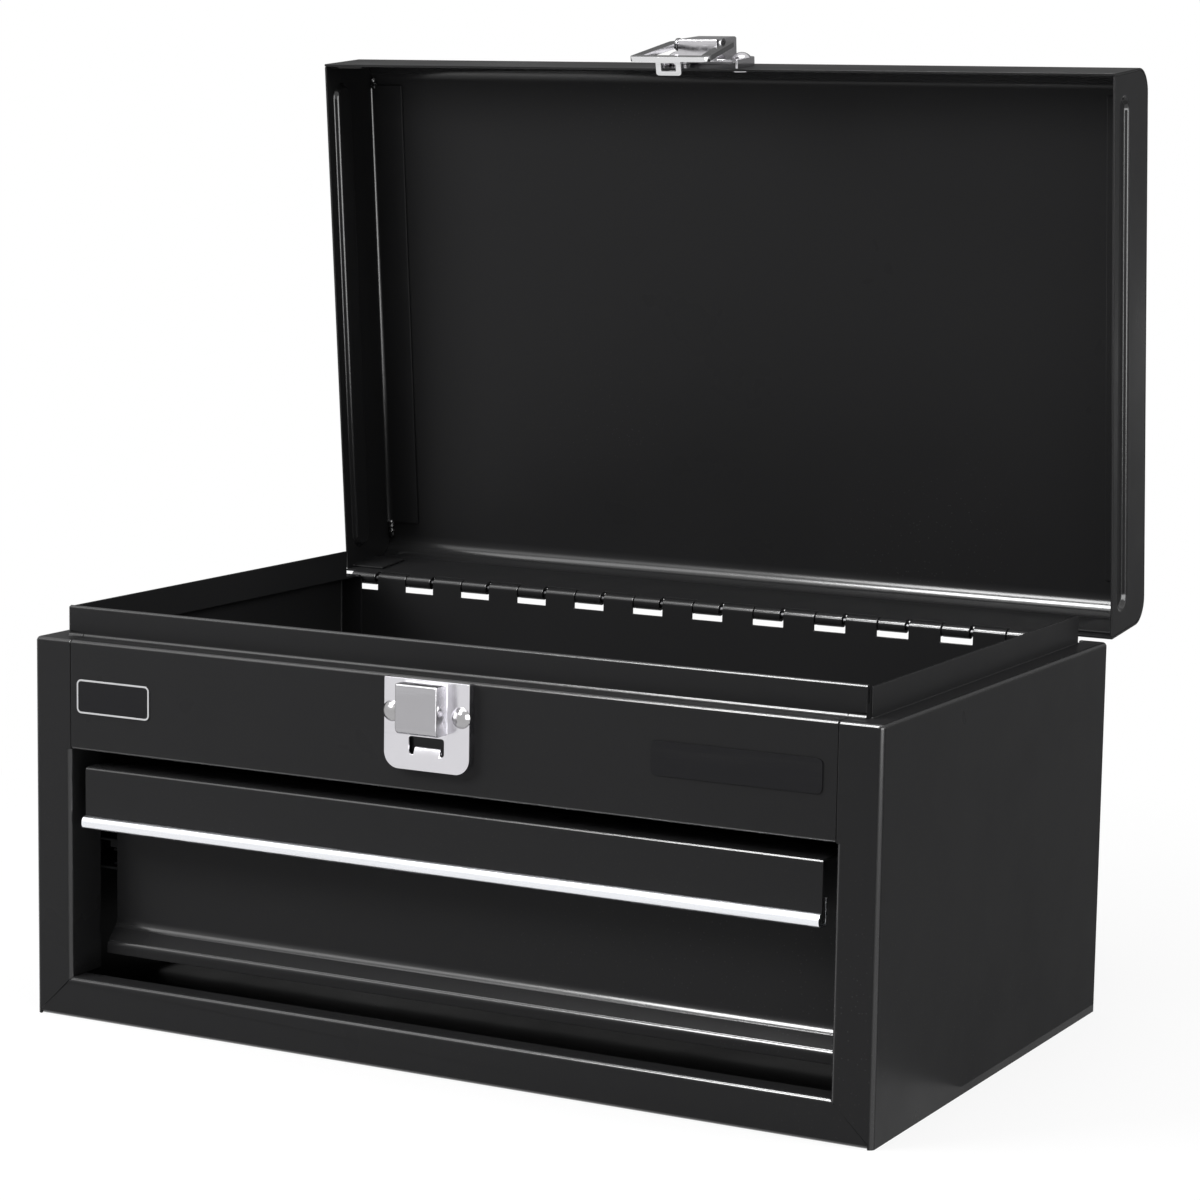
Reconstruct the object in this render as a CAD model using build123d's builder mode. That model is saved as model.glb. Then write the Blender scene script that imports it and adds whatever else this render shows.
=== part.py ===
"""Mini tool box: a folded sheet steel case with one drawer and a hinged lid.

The case, the drawer, the lid and the latch hasp are separate bodies. The lid
is drawn standing open against its stop, the drawer is closed and the hasp lies
where it rests when the lid is open. Millimetres, +Z up, the front faces -Y.
"""

import os
from math import asin, cos, radians, sin

from build123d import *

os.makedirs("parts", exist_ok=True)

# Case sizes
WIDTH = 350.0
DEPTH = 218.0
SHOULDER = 146.5
SHEET = 1.0
BEND = 2.0
SHOULDER_BEND = 1.6
RIM_INSET = 8.5
RIM_HEIGHT = 11.0
RIM_REAR_GAP = 11.0
RIM_CORNER_GAP = 0.6
STILE = 16.4
STILE_RETURN = 19.0
RAIL = 16.0
RAIL_RETURN = 9.0
REAR_FLANGE = 11.0
BOTTOM_FLANGE = 12.0
PANEL_HEIGHT = 42.0
PANEL_RETURN = 10.0
FLOOR_FLANGE = 12.0
SEAM = 0.2

# Lid sizes
LID_GAP = 0.5
LID_HEIGHT = 36.9
LID_BEND = 10.0
LID_OPEN = 84.8
TAB_WIDTH = 16.0
TAB_CLEAR = 4.0
TAB_FRONT_CLEAR = 0.5
TAB_REAR_CLEAR = 4.0
TAB_SEAT = 0.02
BEAD_MARGIN = 9.0
BEAD_WIDTH = 12.0
BEAD_DEPTH = 2.0
BEAD_RISE = 10.5
BEAD_TAPER = 30.0
BEAD_ROUND = 1.4

# Hinge sizes
PIN_R = 1.6
PIN_CLEAR = 0.05
AXIS_DROP = 1.6
KNUCKLE_PITCH = 27.5
KNUCKLE_SHIFT = -5.0
HINGE_MARGIN = 9.0
KNUCKLE_GAP = 0.4
KNUCKLE_PLAY = 1.6
SLOT_DROP = 4.7
LID_NOTCH = 2.5
PIN_CHAMFER = 0.4
STOP_WIDTH = 10.0
STOP_SHIFT = -4.5
STOP_OUT = 7.0
STOP_DROP = 6.5
STOP_LEG = 12.0
STOP_SHEET = 1.5
STOP_CLEAR = 0.08

# Drawer sizes
DRAWER_SIDE_GAP = 5.4
DRAWER_TOP_GAP = 6.5
DRAWER_LOW_GAP = 7.0
FACE_RECESS = 2.0
FACE_HEIGHT = 22.6
HEM = 3.0
HEM_RISE = 9.0
FRONT_BEND = 1.4
PULL_DEPTH = 21.0
FLARE_HIGH = 10.7
FLARE_LOW = 3.6
FLARE_FORWARD = 6.6
FLARE_BEND = 8.0
FOOT_BEND = 2.5
PAN_INSET = 3.2
PAN_LIFT = 1.0
PAN_TOP_DROP = 12.0
PAN_REAR_GAP = 11.0
PAN_TAB = 10.0
KEPT_IN = 78.0

# Trim sizes
TRIM_HEIGHT = 5.2
TRIM_PROUD = 2.7
TRIM_WALL = 1.0
TRIM_FIT = 0.2

# Runner sizes
RUNNER_RISE = 36.0
RUNNER_HEIGHT = 12.0
RUNNER_SIDE_GAP = 2.5
RUNNER_FRONT_GAP = 0.6
RUNNER_REAR_GAP = 1.0
RAIL_SIDE_GAP = 1.1
RAIL_CLEAR = 0.3
RAIL_HEIGHT = 6.4
RAIL_FRONT = 3.0
LUG_LENGTH = 8.0
STOP_TAB = 2.4
STOP_TAB_WALL = 1.2
DRAWER_RIVET_R = 2.0
DRAWER_HEAD_R = 3.4
DRAWER_HEAD = 1.2
DRAWER_RIVET_INSET = 18.0
RIVET_FIT = 0.02

# Latch sizes
LATCH_SHEET = 1.0
LATCH_WIDTH = 35.4
LATCH_DEPTH = 3.6
LATCH_CORNER = 6.0
KEEPER_DROP = 33.5
KEEPER_TOP_GAP = 0.4
BLOCK_WIDTH = 17.2
BLOCK_PROUD = 7.9
BLOCK_DROP = 19.5
BLOCK_TOP_GAP = 0.8
BLOCK_EDGE = 0.8
BLOCK_TOE = 2.6
KEYHOLE_WIDTH = 14.4
KEYHOLE_HEIGHT = 6.4
KEYHOLE_DROP = 27.6
KEYHOLE_MARGIN = 0.4
TONGUE_RISE = 2.6
TONGUE_WIDTH = 11.0
LATCH_RIVET_R = 2.0
LATCH_HEAD_R = 3.9
LATCH_HEAD = 2.2
LATCH_RIVET_SPAN = 28.6
KEEPER_RIVET_DROP = 12.7
BASE_BOTTOM = 0.8
BASE_HEIGHT = 20.0
BASE_BLOCK = 18.0
BASE_RIVET_RISE = 11.5
BASE_SLOT = 11.0
BASE_SLOT_HEIGHT = 2.0
PIVOT_OUT = 9.1
PIVOT_RISE = 3.5
PIVOT_R = 1.2
HASP_SHEET = 1.2
HASP_FLANGE = 2.0
HASP_LENGTH = 29.1
HASP_TOP_WIDTH = 28.6
HASP_BOTTOM_WIDTH = 35.0
HASP_ARM = 4.6
HASP_BAR = 3.6
HASP_PAN_GAP = 0.8
EAR_GAP = 0.5
EAR_RISE = 2.6
LOOP_WIDTH = 11.0
LOOP_REACH = 5.4
LOOP_HOLE_WIDTH = 6.4
LOOP_HOLE = 3.2

# Label plates
PLATE_SHEET = 0.5
LEFT_PLATE_INSET = 19.9
LEFT_PLATE_DROP = 21.1
LEFT_PLATE_WIDTH = 33.0
LEFT_PLATE_HEIGHT = 13.0
LEFT_PLATE_BORDER = 0.7
RIGHT_PLATE_INSET = 37.9
RIGHT_PLATE_DROP = 19.6
RIGHT_PLATE_WIDTH = 65.0
RIGHT_PLATE_HEIGHT = 12.2
PLATE_CORNER = 2.0

# Values worked out from the sizes
HALF = WIDTH / 2
FRONT = -DEPTH / 2
REAR = DEPTH / 2
RIM_TOP = SHOULDER + RIM_HEIGHT
STILE_X = HALF - STILE
OPENING_TOP = SHOULDER - PANEL_HEIGHT
REAR_INNER = REAR - SHEET
FLOOR_Z = OPENING_TOP + SHEET
BARREL_R = PIN_R + PIN_CLEAR + SHEET
AXIS_Y = REAR_INNER + BARREL_R
AXIS_Z = SHOULDER - AXIS_DROP
KNUCKLE = KNUCKLE_PITCH / 2
KNUCKLE_PAIRS = int((WIDTH - 2 * HINGE_MARGIN) // KNUCKLE_PITCH)
KNUCKLE_START = KNUCKLE_SHIFT - KNUCKLE_PITCH * KNUCKLE_PAIRS / 2
KNUCKLE_END = KNUCKLE_SHIFT + KNUCKLE_PITCH * KNUCKLE_PAIRS / 2
LID_RIM = SHOULDER + LID_GAP
LID_TOP = LID_RIM + LID_HEIGHT
OPEN_SIN = sin(radians(LID_OPEN))
OPEN_COS = cos(radians(LID_OPEN))

# The lid in its own frame: X along the hinge, then depth and height as closed
LID_FRAME = Plane(
    origin=(0, AXIS_Y, AXIS_Z),
    x_dir=(1, 0, 0),
    z_dir=(0, OPEN_SIN, OPEN_COS),
)
LID_SECTION = Plane(
    origin=LID_FRAME.origin,
    x_dir=LID_FRAME.y_dir,
    z_dir=LID_FRAME.x_dir,
)
LID_FRONT = FRONT - AXIS_Y
LID_REAR = REAR - AXIS_Y
RIM_B = LID_RIM - AXIS_Z
TOP_B = LID_TOP - AXIS_Z

# The hasp in its own frame: X along its pivot, Y up its length, Z outward
LATCH_FACE = LATCH_DEPTH + HASP_PAN_GAP
HASP_DROOP = asin((PIVOT_OUT - LATCH_FACE - HASP_FLANGE / 2) / HASP_LENGTH)
PIVOT_A = LID_FRONT - PIVOT_OUT
PIVOT_B = RIM_B + PIVOT_RISE
HASP_FRAME = Plane(
    origin=LID_FRAME.from_local_coords((0, PIVOT_A, PIVOT_B)),
    x_dir=(1, 0, 0),
    z_dir=LID_FRAME.y_dir * -cos(HASP_DROOP) - LID_FRAME.z_dir * sin(HASP_DROOP),
)

BEAD_LENGTH = DEPTH - 2 * BEAD_MARGIN
FACE_Y = FRONT + FACE_RECESS
FACE_TOP = OPENING_TOP - DRAWER_TOP_GAP
LIP_Z = FACE_TOP - FACE_HEIGHT
PULL_Y = FACE_Y + PULL_DEPTH
LIP_Y = PULL_Y - FLARE_FORWARD
FRONT_BOTTOM = RAIL + DRAWER_LOW_GAP
FLARE_TOP = FRONT_BOTTOM + FLARE_HIGH
FLARE_BOTTOM = FRONT_BOTTOM + FLARE_LOW
DRAWER_WIDTH = 2 * (STILE_X - DRAWER_SIDE_GAP)
PAN_WIDTH = DRAWER_WIDTH - 2 * PAN_INSET
PAN_HALF = PAN_WIDTH / 2
PAN_BOTTOM = FRONT_BOTTOM + PAN_LIFT
PAN_TOP = FACE_TOP - PAN_TOP_DROP
PAN_REAR = REAR - PAN_REAR_GAP
TRAVEL = DEPTH - KEPT_IN
RUNNER_Z = PAN_BOTTOM + RUNNER_RISE
RUNNER_LOW = RUNNER_Z - RUNNER_HEIGHT / 2
RUNNER_HIGH = RUNNER_Z + RUNNER_HEIGHT / 2
RUNNER_WALL = HALF - SHEET
RUNNER_EDGE = PAN_HALF + RUNNER_SIDE_GAP
RUNNER_FRONT = PULL_Y + RUNNER_FRONT_GAP
RUNNER_REAR = REAR_INNER - SHEET - RUNNER_REAR_GAP
RAIL_LOW = RUNNER_LOW + SHEET + RAIL_CLEAR
RAIL_HIGH = RAIL_LOW + RAIL_HEIGHT
LUG_HIGH = RUNNER_HIGH - SHEET - RAIL_CLEAR
RAIL_OUT = STILE_X - RAIL_SIDE_GAP
RAIL_START = PULL_Y + RAIL_FRONT
LUG_FRONT = RUNNER_FRONT + STOP_TAB_WALL + TRAVEL + RAIL_CLEAR
RAIL_END = LUG_FRONT + LUG_LENGTH
KEEPER_TOP = SHOULDER - KEEPER_TOP_GAP
KEEPER_BOTTOM = SHOULDER - KEEPER_DROP
BLOCK_BOTTOM = SHOULDER - BLOCK_DROP
KEYHOLE_BOTTOM = SHOULDER - KEYHOLE_DROP
KEEPER_RIVET_Z = SHOULDER - KEEPER_RIVET_DROP
DOME_R = (LATCH_HEAD_R**2 + LATCH_HEAD**2) / (2 * LATCH_HEAD)
LEFT_PLATE_X = LEFT_PLATE_INSET - STILE_X
LEFT_PLATE_Z = SHOULDER - LEFT_PLATE_DROP
RIGHT_PLATE_X = STILE_X - RIGHT_PLATE_INSET
RIGHT_PLATE_Z = SHOULDER - RIGHT_PLATE_DROP


def lid_knuckle_starts():
    """Left ends of the pitches, each one lid knuckle then one case knuckle."""
    return [KNUCKLE_START + KNUCKLE_PITCH * i for i in range(KNUCKLE_PAIRS)]


def domed_rivet(seat):
    """Add a latch rivet: flat tail behind the sheet, shank and domed head."""
    section = Plane(origin=seat.origin, x_dir=seat.x_dir, z_dir=seat.y_dir * -1)
    slope = asin(LATCH_HEAD_R / DOME_R) / 2
    crown = LATCH_DEPTH + LATCH_HEAD
    with BuildSketch(section) as rivet_profile:
        with BuildLine():
            dome = ThreePointArc(
                (LATCH_HEAD_R, LATCH_DEPTH),
                (DOME_R * sin(slope), crown - DOME_R * (1 - cos(slope))),
                (0, crown),
            )
            Polyline(
                dome @ 1,
                (0, -2 * SHEET),
                (LATCH_HEAD_R, -2 * SHEET),
                (LATCH_HEAD_R, -SHEET),
                (LATCH_RIVET_R, -SHEET),
                (LATCH_RIVET_R, LATCH_DEPTH),
                dome @ 0,
            )
        make_face()
    revolve(rivet_profile.sketch, axis=Axis(seat.origin, seat.z_dir))


# Right side panel: wall, front stile with its return, rear flange, shoulder
# and rim, all folded from one sheet
with BuildPart() as right_side_panel:
    with BuildSketch(Plane.XY) as side_plan:
        with BuildLine() as side_line:
            FilletPolyline(
                (STILE_X, FRONT + STILE_RETURN),
                (STILE_X, FRONT),
                (HALF, FRONT),
                (HALF, REAR_INNER),
                (HALF - REAR_FLANGE, REAR_INNER),
                radius=BEND,
            )
            offset(amount=SHEET, side=Side.LEFT)
        make_face()
    extrude(amount=SHOULDER)
    # The stile return ends under the upper front panel
    with Locations((STILE_X - SHEET, FRONT + SHEET, OPENING_TOP)):
        Box(
            SHEET + BEND,
            STILE_RETURN,
            SHOULDER,
            align=(Align.MIN, Align.MIN, Align.MIN),
            mode=Mode.SUBTRACT,
        )
    # Flat edge of the stile beside the upper front panel
    with Locations((STILE_X, FRONT, OPENING_TOP)):
        Box(
            STILE - BEND,
            SHEET,
            SHOULDER - OPENING_TOP,
            align=(Align.MIN, Align.MIN, Align.MIN),
        )
    # Shoulder along the side, over the stile and over the rear flange
    with BuildSketch(Plane.XY.offset(SHOULDER - SHEET)) as shoulder_plan:
        with Locations((HALF, FRONT)):
            Rectangle(RIM_INSET + SHEET, DEPTH - SHEET, align=(Align.MAX, Align.MIN))
            Rectangle(STILE, RIM_INSET - SEAM, align=(Align.MAX, Align.MIN))
        with Locations((HALF, REAR_INNER)):
            Rectangle(REAR_FLANGE, BEND + SHEET, align=(Align.MAX, Align.MAX))
        fillet(shoulder_plan.vertices().group_by(Axis.X)[-1], radius=BEND)
    extrude(amount=SHEET)
    # Rim along the side
    with Locations((HALF - RIM_INSET, FRONT + RIM_INSET + SHEET + RIM_CORNER_GAP, SHOULDER - SHEET)):
        Box(
            SHEET,
            DEPTH - RIM_INSET - SHEET - RIM_CORNER_GAP - RIM_REAR_GAP,
            RIM_HEIGHT + SHEET,
            align=(Align.MAX, Align.MIN, Align.MIN),
        )
    # Bent edge round the top of the wall
    shoulder_edge = (
        right_side_panel.edges()
        .filter_by(Axis.Y)
        .filter_by_position(Axis.Z, SHOULDER - 0.01, SHOULDER + 0.01)
        .sort_by(Axis.X)[-1]
    )
    fillet(shoulder_edge, radius=SHOULDER_BEND)
    # Mitred lower end of the stile
    with BuildSketch(Plane.XZ.offset(-FRONT + SHEET)) as stile_mitre:
        with BuildLine():
            Polyline(
                (HALF - BEND, -SHEET),
                (HALF - BEND, BEND * RAIL / STILE),
                (STILE_X, RAIL),
                (STILE_X - SHEET, RAIL),
                (STILE_X - SHEET, -SHEET),
                close=True,
            )
        make_face()
    extrude(amount=-(STILE_RETURN + 2 * SHEET), mode=Mode.SUBTRACT)
    # Room for the bottom panel inside the wall
    with Locations((0, 0, 0)):
        Box(
            WIDTH - 2 * SHEET,
            DEPTH - 2 * SHEET,
            SHEET,
            align=(Align.CENTER, Align.CENTER, Align.MIN),
            mode=Mode.SUBTRACT,
        )
right_side_panel.part.label = "right_side_panel"
export_step(right_side_panel.part, "parts/right_side_panel.step")

with BuildPart() as left_side_panel:
    mirror(right_side_panel.part, about=Plane.YZ)
left_side_panel.part.label = "left_side_panel"
export_step(left_side_panel.part, "parts/left_side_panel.step")

# Bottom panel: front rail with its return, floor and rear flange
with BuildPart() as bottom_panel:
    with BuildSketch(Plane.YZ) as bottom_section:
        with BuildLine() as bottom_line:
            FilletPolyline(
                (FRONT + RAIL_RETURN, RAIL),
                (FRONT, RAIL),
                (FRONT, 0),
                (REAR_INNER, 0),
                (REAR_INNER, BOTTOM_FLANGE),
                radius=BEND,
            )
            offset(amount=SHEET, side=Side.LEFT)
        make_face()
    extrude(amount=HALF - SHEET, both=True)
    # Mitred ends of the rail
    with BuildSketch(Plane.XZ.offset(-FRONT + SHEET)) as rail_mitre:
        with BuildLine():
            Polyline(
                (HALF - BEND - SEAM, -SHEET),
                (HALF - BEND - SEAM, BEND * RAIL / STILE),
                (STILE_X - SEAM, RAIL),
                (STILE_X - SEAM, RAIL + SHEET),
                (HALF + SHEET, RAIL + SHEET),
                (HALF + SHEET, -SHEET),
                close=True,
            )
        make_face()
        mirror(about=Plane.YZ)
    extrude(amount=-(STILE_RETURN + 2 * SHEET), mode=Mode.SUBTRACT)
    # The rear flange stands between the flanges of the side panels
    with Locations((HALF, REAR_INNER, SHEET), (-HALF, REAR_INNER, SHEET)):
        Box(
            2 * (REAR_FLANGE + SEAM),
            2 * (BEND + SHEET),
            2 * BOTTOM_FLANGE,
            align=(Align.CENTER, Align.CENTER, Align.MIN),
            mode=Mode.SUBTRACT,
        )
bottom_panel.part.label = "bottom_panel"
export_step(bottom_panel.part, "parts/bottom_panel.step")

# Rear panel: plate outside the side flanges with rolled hinge knuckles along
# its top edge
with BuildPart() as rear_panel:
    with Locations((0, REAR_INNER, 0)):
        Box(
            WIDTH - 2 * BEND,
            SHEET,
            AXIS_Z,
            align=(Align.CENTER, Align.MIN, Align.MIN),
        )
    # Slots under the lid knuckles
    for start in lid_knuckle_starts():
        with Locations((start, REAR_INNER, AXIS_Z - SLOT_DROP)):
            Box(
                KNUCKLE,
                SHEET,
                2 * SLOT_DROP,
                align=(Align.MIN, Align.MIN, Align.MIN),
                mode=Mode.SUBTRACT,
            )
    # Case knuckles
    for start in lid_knuckle_starts():
        with BuildSketch(Plane.YZ.offset(start + KNUCKLE)) as knuckle_section:
            with Locations((AXIS_Y, AXIS_Z)):
                Circle(BARREL_R)
        extrude(amount=KNUCKLE)
    with BuildSketch(Plane.YZ) as knuckle_bore:
        with Locations((AXIS_Y, AXIS_Z)):
            Circle(PIN_R)
    extrude(amount=HALF, both=True, mode=Mode.SUBTRACT)
rear_panel.part.label = "rear_panel"
export_step(rear_panel.part, "parts/rear_panel.step")

# Lid stops: brackets behind the hinge that the open lid's rear skirt rests on
for side_name, start in (("left", lid_knuckle_starts()[1]), ("right", lid_knuckle_starts()[-2])):
    with BuildPart() as lid_stop:
        stop_x = start + KNUCKLE + (KNUCKLE - STOP_WIDTH) / 2 + STOP_SHIFT
        skirt_run = (STOP_OUT + (BARREL_R - SHEET) * OPEN_COS) / OPEN_SIN
        skirt_z = AXIS_Z + (BARREL_R - SHEET) * OPEN_SIN + skirt_run * OPEN_COS
        with BuildSketch(Plane.YZ.offset(stop_x)) as stop_section:
            with BuildLine() as stop_line:
                FilletPolyline(
                    (REAR, AXIS_Z - STOP_DROP - STOP_LEG),
                    (REAR, AXIS_Z - STOP_DROP),
                    (AXIS_Y + STOP_OUT, AXIS_Z - STOP_DROP),
                    (AXIS_Y + STOP_OUT, skirt_z - STOP_CLEAR),
                    radius=BEND,
                )
                offset(amount=STOP_SHEET, side=Side.RIGHT)
            make_face()
        extrude(amount=STOP_WIDTH)
    stop_name = f"{side_name}_lid_stop"
    lid_stop.part.label = stop_name
    export_step(lid_stop.part, f"parts/{stop_name}.step")

# Hinge pin, held in the case knuckles
with BuildPart() as hinge_pin:
    with BuildSketch(Plane.YZ.offset(KNUCKLE_START)) as pin_section:
        with Locations((AXIS_Y, AXIS_Z)):
            Circle(PIN_R)
    extrude(amount=KNUCKLE_END - KNUCKLE_START)
    chamfer(hinge_pin.edges().filter_by(GeomType.CIRCLE), length=PIN_CHAMFER)
hinge_pin.part.label = "hinge_pin"
export_step(hinge_pin.part, "parts/hinge_pin.step")

# Upper front panel: return over the drawer, face, shoulder and front rim
with BuildPart() as front_panel:
    with BuildSketch(Plane.YZ) as front_section:
        with BuildLine() as front_line:
            FilletPolyline(
                (FRONT + PANEL_RETURN, OPENING_TOP),
                (FRONT, OPENING_TOP),
                (FRONT, SHOULDER),
                (FRONT + RIM_INSET, SHOULDER),
                (FRONT + RIM_INSET, RIM_TOP),
                radius=SHOULDER_BEND,
            )
            offset(amount=SHEET, side=Side.RIGHT)
        make_face()
    extrude(amount=STILE_X - SEAM, both=True)
    with Locations((0, FRONT + RIM_INSET, SHOULDER + SHOULDER_BEND)):
        Box(
            WIDTH - 2 * (RIM_INSET + SHEET + RIM_CORNER_GAP),
            SHEET,
            RIM_HEIGHT - SHOULDER_BEND,
            align=(Align.CENTER, Align.MIN, Align.MIN),
        )
    # Opening behind the keeper's hole
    with Locations((0, FRONT, KEYHOLE_BOTTOM - KEYHOLE_MARGIN)):
        Box(
            KEYHOLE_WIDTH + 2 * KEYHOLE_MARGIN,
            4 * SHEET,
            KEYHOLE_HEIGHT + 2 * KEYHOLE_MARGIN,
            align=(Align.CENTER, Align.CENTER, Align.MIN),
            mode=Mode.SUBTRACT,
        )
    # Rivet holes of the keeper
    with BuildSketch(Plane.XZ.offset(-FRONT)) as front_holes:
        with Locations((0, KEEPER_RIVET_Z)):
            with GridLocations(LATCH_RIVET_SPAN, 0, 2, 1):
                Circle(LATCH_RIVET_R + RIVET_FIT)
    extrude(amount=-2 * SHEET, mode=Mode.SUBTRACT)
front_panel.part.label = "front_panel"
export_step(front_panel.part, "parts/front_panel.step")

# Floor of the upper compartment, folded up along both sides
with BuildPart() as tray_floor:
    with BuildSketch(Plane.XZ.offset(-(FRONT + SHEET + BEND))) as floor_section:
        with BuildLine() as floor_line:
            FilletPolyline(
                (-HALF + SHEET, FLOOR_Z + FLOOR_FLANGE),
                (-HALF + SHEET, FLOOR_Z),
                (HALF - SHEET, FLOOR_Z),
                (HALF - SHEET, FLOOR_Z + FLOOR_FLANGE),
                radius=BEND,
            )
            offset(amount=SHEET, side=Side.LEFT)
        make_face()
    extrude(amount=-(DEPTH - 3 * SHEET - 2 * BEND))
tray_floor.part.label = "tray_floor"
export_step(tray_floor.part, "parts/tray_floor.step")

# Right drawer runner: channel on the side wall with a stop tab at its front
with BuildPart() as right_runner:
    with BuildSketch(Plane.XZ.offset(-RUNNER_FRONT)) as runner_section:
        with BuildLine() as runner_line:
            FilletPolyline(
                (RUNNER_EDGE, RUNNER_LOW),
                (RUNNER_WALL, RUNNER_LOW),
                (RUNNER_WALL, RUNNER_HIGH),
                (RUNNER_EDGE, RUNNER_HIGH),
                radius=BEND,
            )
            offset(amount=SHEET, side=Side.LEFT)
        make_face()
    extrude(amount=-(RUNNER_REAR - RUNNER_FRONT))
    with Locations((RUNNER_EDGE, RUNNER_FRONT, RUNNER_HIGH - SHEET)):
        Box(
            RAIL_OUT - RUNNER_EDGE,
            STOP_TAB_WALL,
            STOP_TAB,
            align=(Align.MIN, Align.MIN, Align.MAX),
        )
right_runner.part.label = "right_runner"
export_step(right_runner.part, "parts/right_runner.step")

with BuildPart() as left_runner:
    mirror(right_runner.part, about=Plane.YZ)
left_runner.part.label = "left_runner"
export_step(left_runner.part, "parts/left_runner.step")

# Drawer front: hemmed lip, face, top of the pull, recessed wall and flared foot
with BuildPart() as drawer_front:
    with BuildSketch(Plane.YZ) as drawer_section:
        with BuildLine() as drawer_line:
            FilletPolyline(
                (FACE_Y + HEM, LIP_Z + HEM_RISE),
                (FACE_Y + HEM, LIP_Z),
                (FACE_Y, LIP_Z),
                (FACE_Y, FACE_TOP),
                (PULL_Y, FACE_TOP),
                (PULL_Y, FLARE_TOP),
                (LIP_Y, FLARE_BOTTOM),
                (LIP_Y, FRONT_BOTTOM),
                radius=(FRONT_BEND, FRONT_BEND, FRONT_BEND, FRONT_BEND, FLARE_BEND, FOOT_BEND),
            )
            offset(amount=SHEET, side=Side.RIGHT)
        make_face()
    extrude(amount=DRAWER_WIDTH / 2, both=True)
drawer_front.part.label = "drawer_front"
export_step(drawer_front.part, "parts/drawer_front.step")

# Trim: extruded strip with a rounded nose, clipped over the hemmed lip
with BuildPart() as drawer_trim:
    with BuildSketch(Plane.YZ) as trim_section:
        trim_low = LIP_Z - TRIM_FIT - TRIM_WALL
        trim_back = FACE_Y + HEM + TRIM_FIT
        with BuildLine():
            nose = ThreePointArc(
                (FACE_Y - TRIM_FIT, trim_low + TRIM_HEIGHT),
                (FACE_Y - TRIM_PROUD, trim_low + TRIM_HEIGHT / 2),
                (FACE_Y - TRIM_FIT, trim_low),
            )
            Polyline(
                nose @ 1,
                (trim_back + TRIM_WALL, trim_low),
                (trim_back + TRIM_WALL, LIP_Z + HEM_RISE),
                (trim_back, LIP_Z + HEM_RISE),
                (trim_back, LIP_Z - TRIM_FIT),
                (FACE_Y - TRIM_FIT, LIP_Z - TRIM_FIT),
                nose @ 0,
            )
        make_face()
    extrude(amount=DRAWER_WIDTH / 2, both=True)
drawer_trim.part.label = "drawer_trim"
export_step(drawer_trim.part, "parts/drawer_trim.step")

# Drawer pan: floor, both sides and rear wall behind the drawer front
with BuildPart() as drawer_pan:
    with Locations((0, PULL_Y, PAN_BOTTOM)):
        Box(
            PAN_WIDTH,
            PAN_REAR - PULL_Y,
            PAN_TOP - PAN_BOTTOM,
            align=(Align.CENTER, Align.MIN, Align.MIN),
        )
    upright = drawer_pan.edges().filter_by(Axis.Z).group_by(Axis.Y)[-1]
    fillet(upright, radius=BEND)
    pan_under = drawer_pan.faces().sort_by(Axis.Z)[0].edges()
    fillet(pan_under.filter_by(Axis.Y) + pan_under.sort_by(Axis.Y)[-1:], radius=SHOULDER_BEND)
    with Locations((0, PULL_Y + SHEET, PAN_BOTTOM + SHEET)):
        Box(
            PAN_WIDTH - 2 * SHEET,
            PAN_REAR - PULL_Y - 2 * SHEET,
            PAN_TOP,
            align=(Align.CENTER, Align.MIN, Align.MIN),
            mode=Mode.SUBTRACT,
        )
    with Locations((0, PULL_Y, PAN_BOTTOM + SHEET)):
        Box(
            PAN_WIDTH - 2 * (SHEET + PAN_TAB),
            2 * SHEET,
            PAN_TOP,
            align=(Align.CENTER, Align.CENTER, Align.MIN),
            mode=Mode.SUBTRACT,
        )
    with Locations((0, LIP_Y, PAN_BOTTOM)):
        Box(
            PAN_WIDTH - 2 * BEND,
            PULL_Y - LIP_Y + SHEET,
            SHEET,
            align=(Align.CENTER, Align.MIN, Align.MIN),
        )
    # Rivet holes of the rails
    with BuildSketch(Plane.YZ) as pan_holes:
        with Locations(
            (RAIL_START + DRAWER_RIVET_INSET, RAIL_LOW + RAIL_HEIGHT / 2),
            (RAIL_END - DRAWER_RIVET_INSET, RAIL_LOW + RAIL_HEIGHT / 2),
        ):
            Circle(DRAWER_RIVET_R + RIVET_FIT)
    extrude(amount=WIDTH, both=True, mode=Mode.SUBTRACT)
drawer_pan.part.label = "drawer_pan"
export_step(drawer_pan.part, "parts/drawer_pan.step")

# Right drawer rail: channel on the pan that rides in the runner, with a lug
# at its rear end that meets the runner's stop tab
with BuildPart() as right_drawer_rail:
    with BuildSketch(Plane.XZ.offset(-RAIL_START)) as rail_section:
        with BuildLine() as rail_line:
            FilletPolyline(
                (RAIL_OUT, RAIL_HIGH),
                (PAN_HALF, RAIL_HIGH),
                (PAN_HALF, RAIL_LOW),
                (RAIL_OUT, RAIL_LOW),
                radius=SHOULDER_BEND,
            )
            offset(amount=SHEET, side=Side.LEFT)
        make_face()
    extrude(amount=-(RAIL_END - RAIL_START))
    with Locations((RAIL_OUT, LUG_FRONT, RAIL_HIGH - SHEET)):
        Box(
            RAIL_OUT - RUNNER_EDGE - RAIL_CLEAR,
            LUG_LENGTH,
            LUG_HIGH - RAIL_HIGH + SHEET,
            align=(Align.MAX, Align.MIN, Align.MIN),
        )
    with BuildSketch(Plane.YZ.offset(PAN_HALF)) as rail_holes:
        with Locations(
            (RAIL_START + DRAWER_RIVET_INSET, RAIL_LOW + RAIL_HEIGHT / 2),
            (RAIL_END - DRAWER_RIVET_INSET, RAIL_LOW + RAIL_HEIGHT / 2),
        ):
            Circle(DRAWER_RIVET_R + RIVET_FIT)
    extrude(amount=2 * SHEET, mode=Mode.SUBTRACT)
right_drawer_rail.part.label = "right_drawer_rail"
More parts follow.
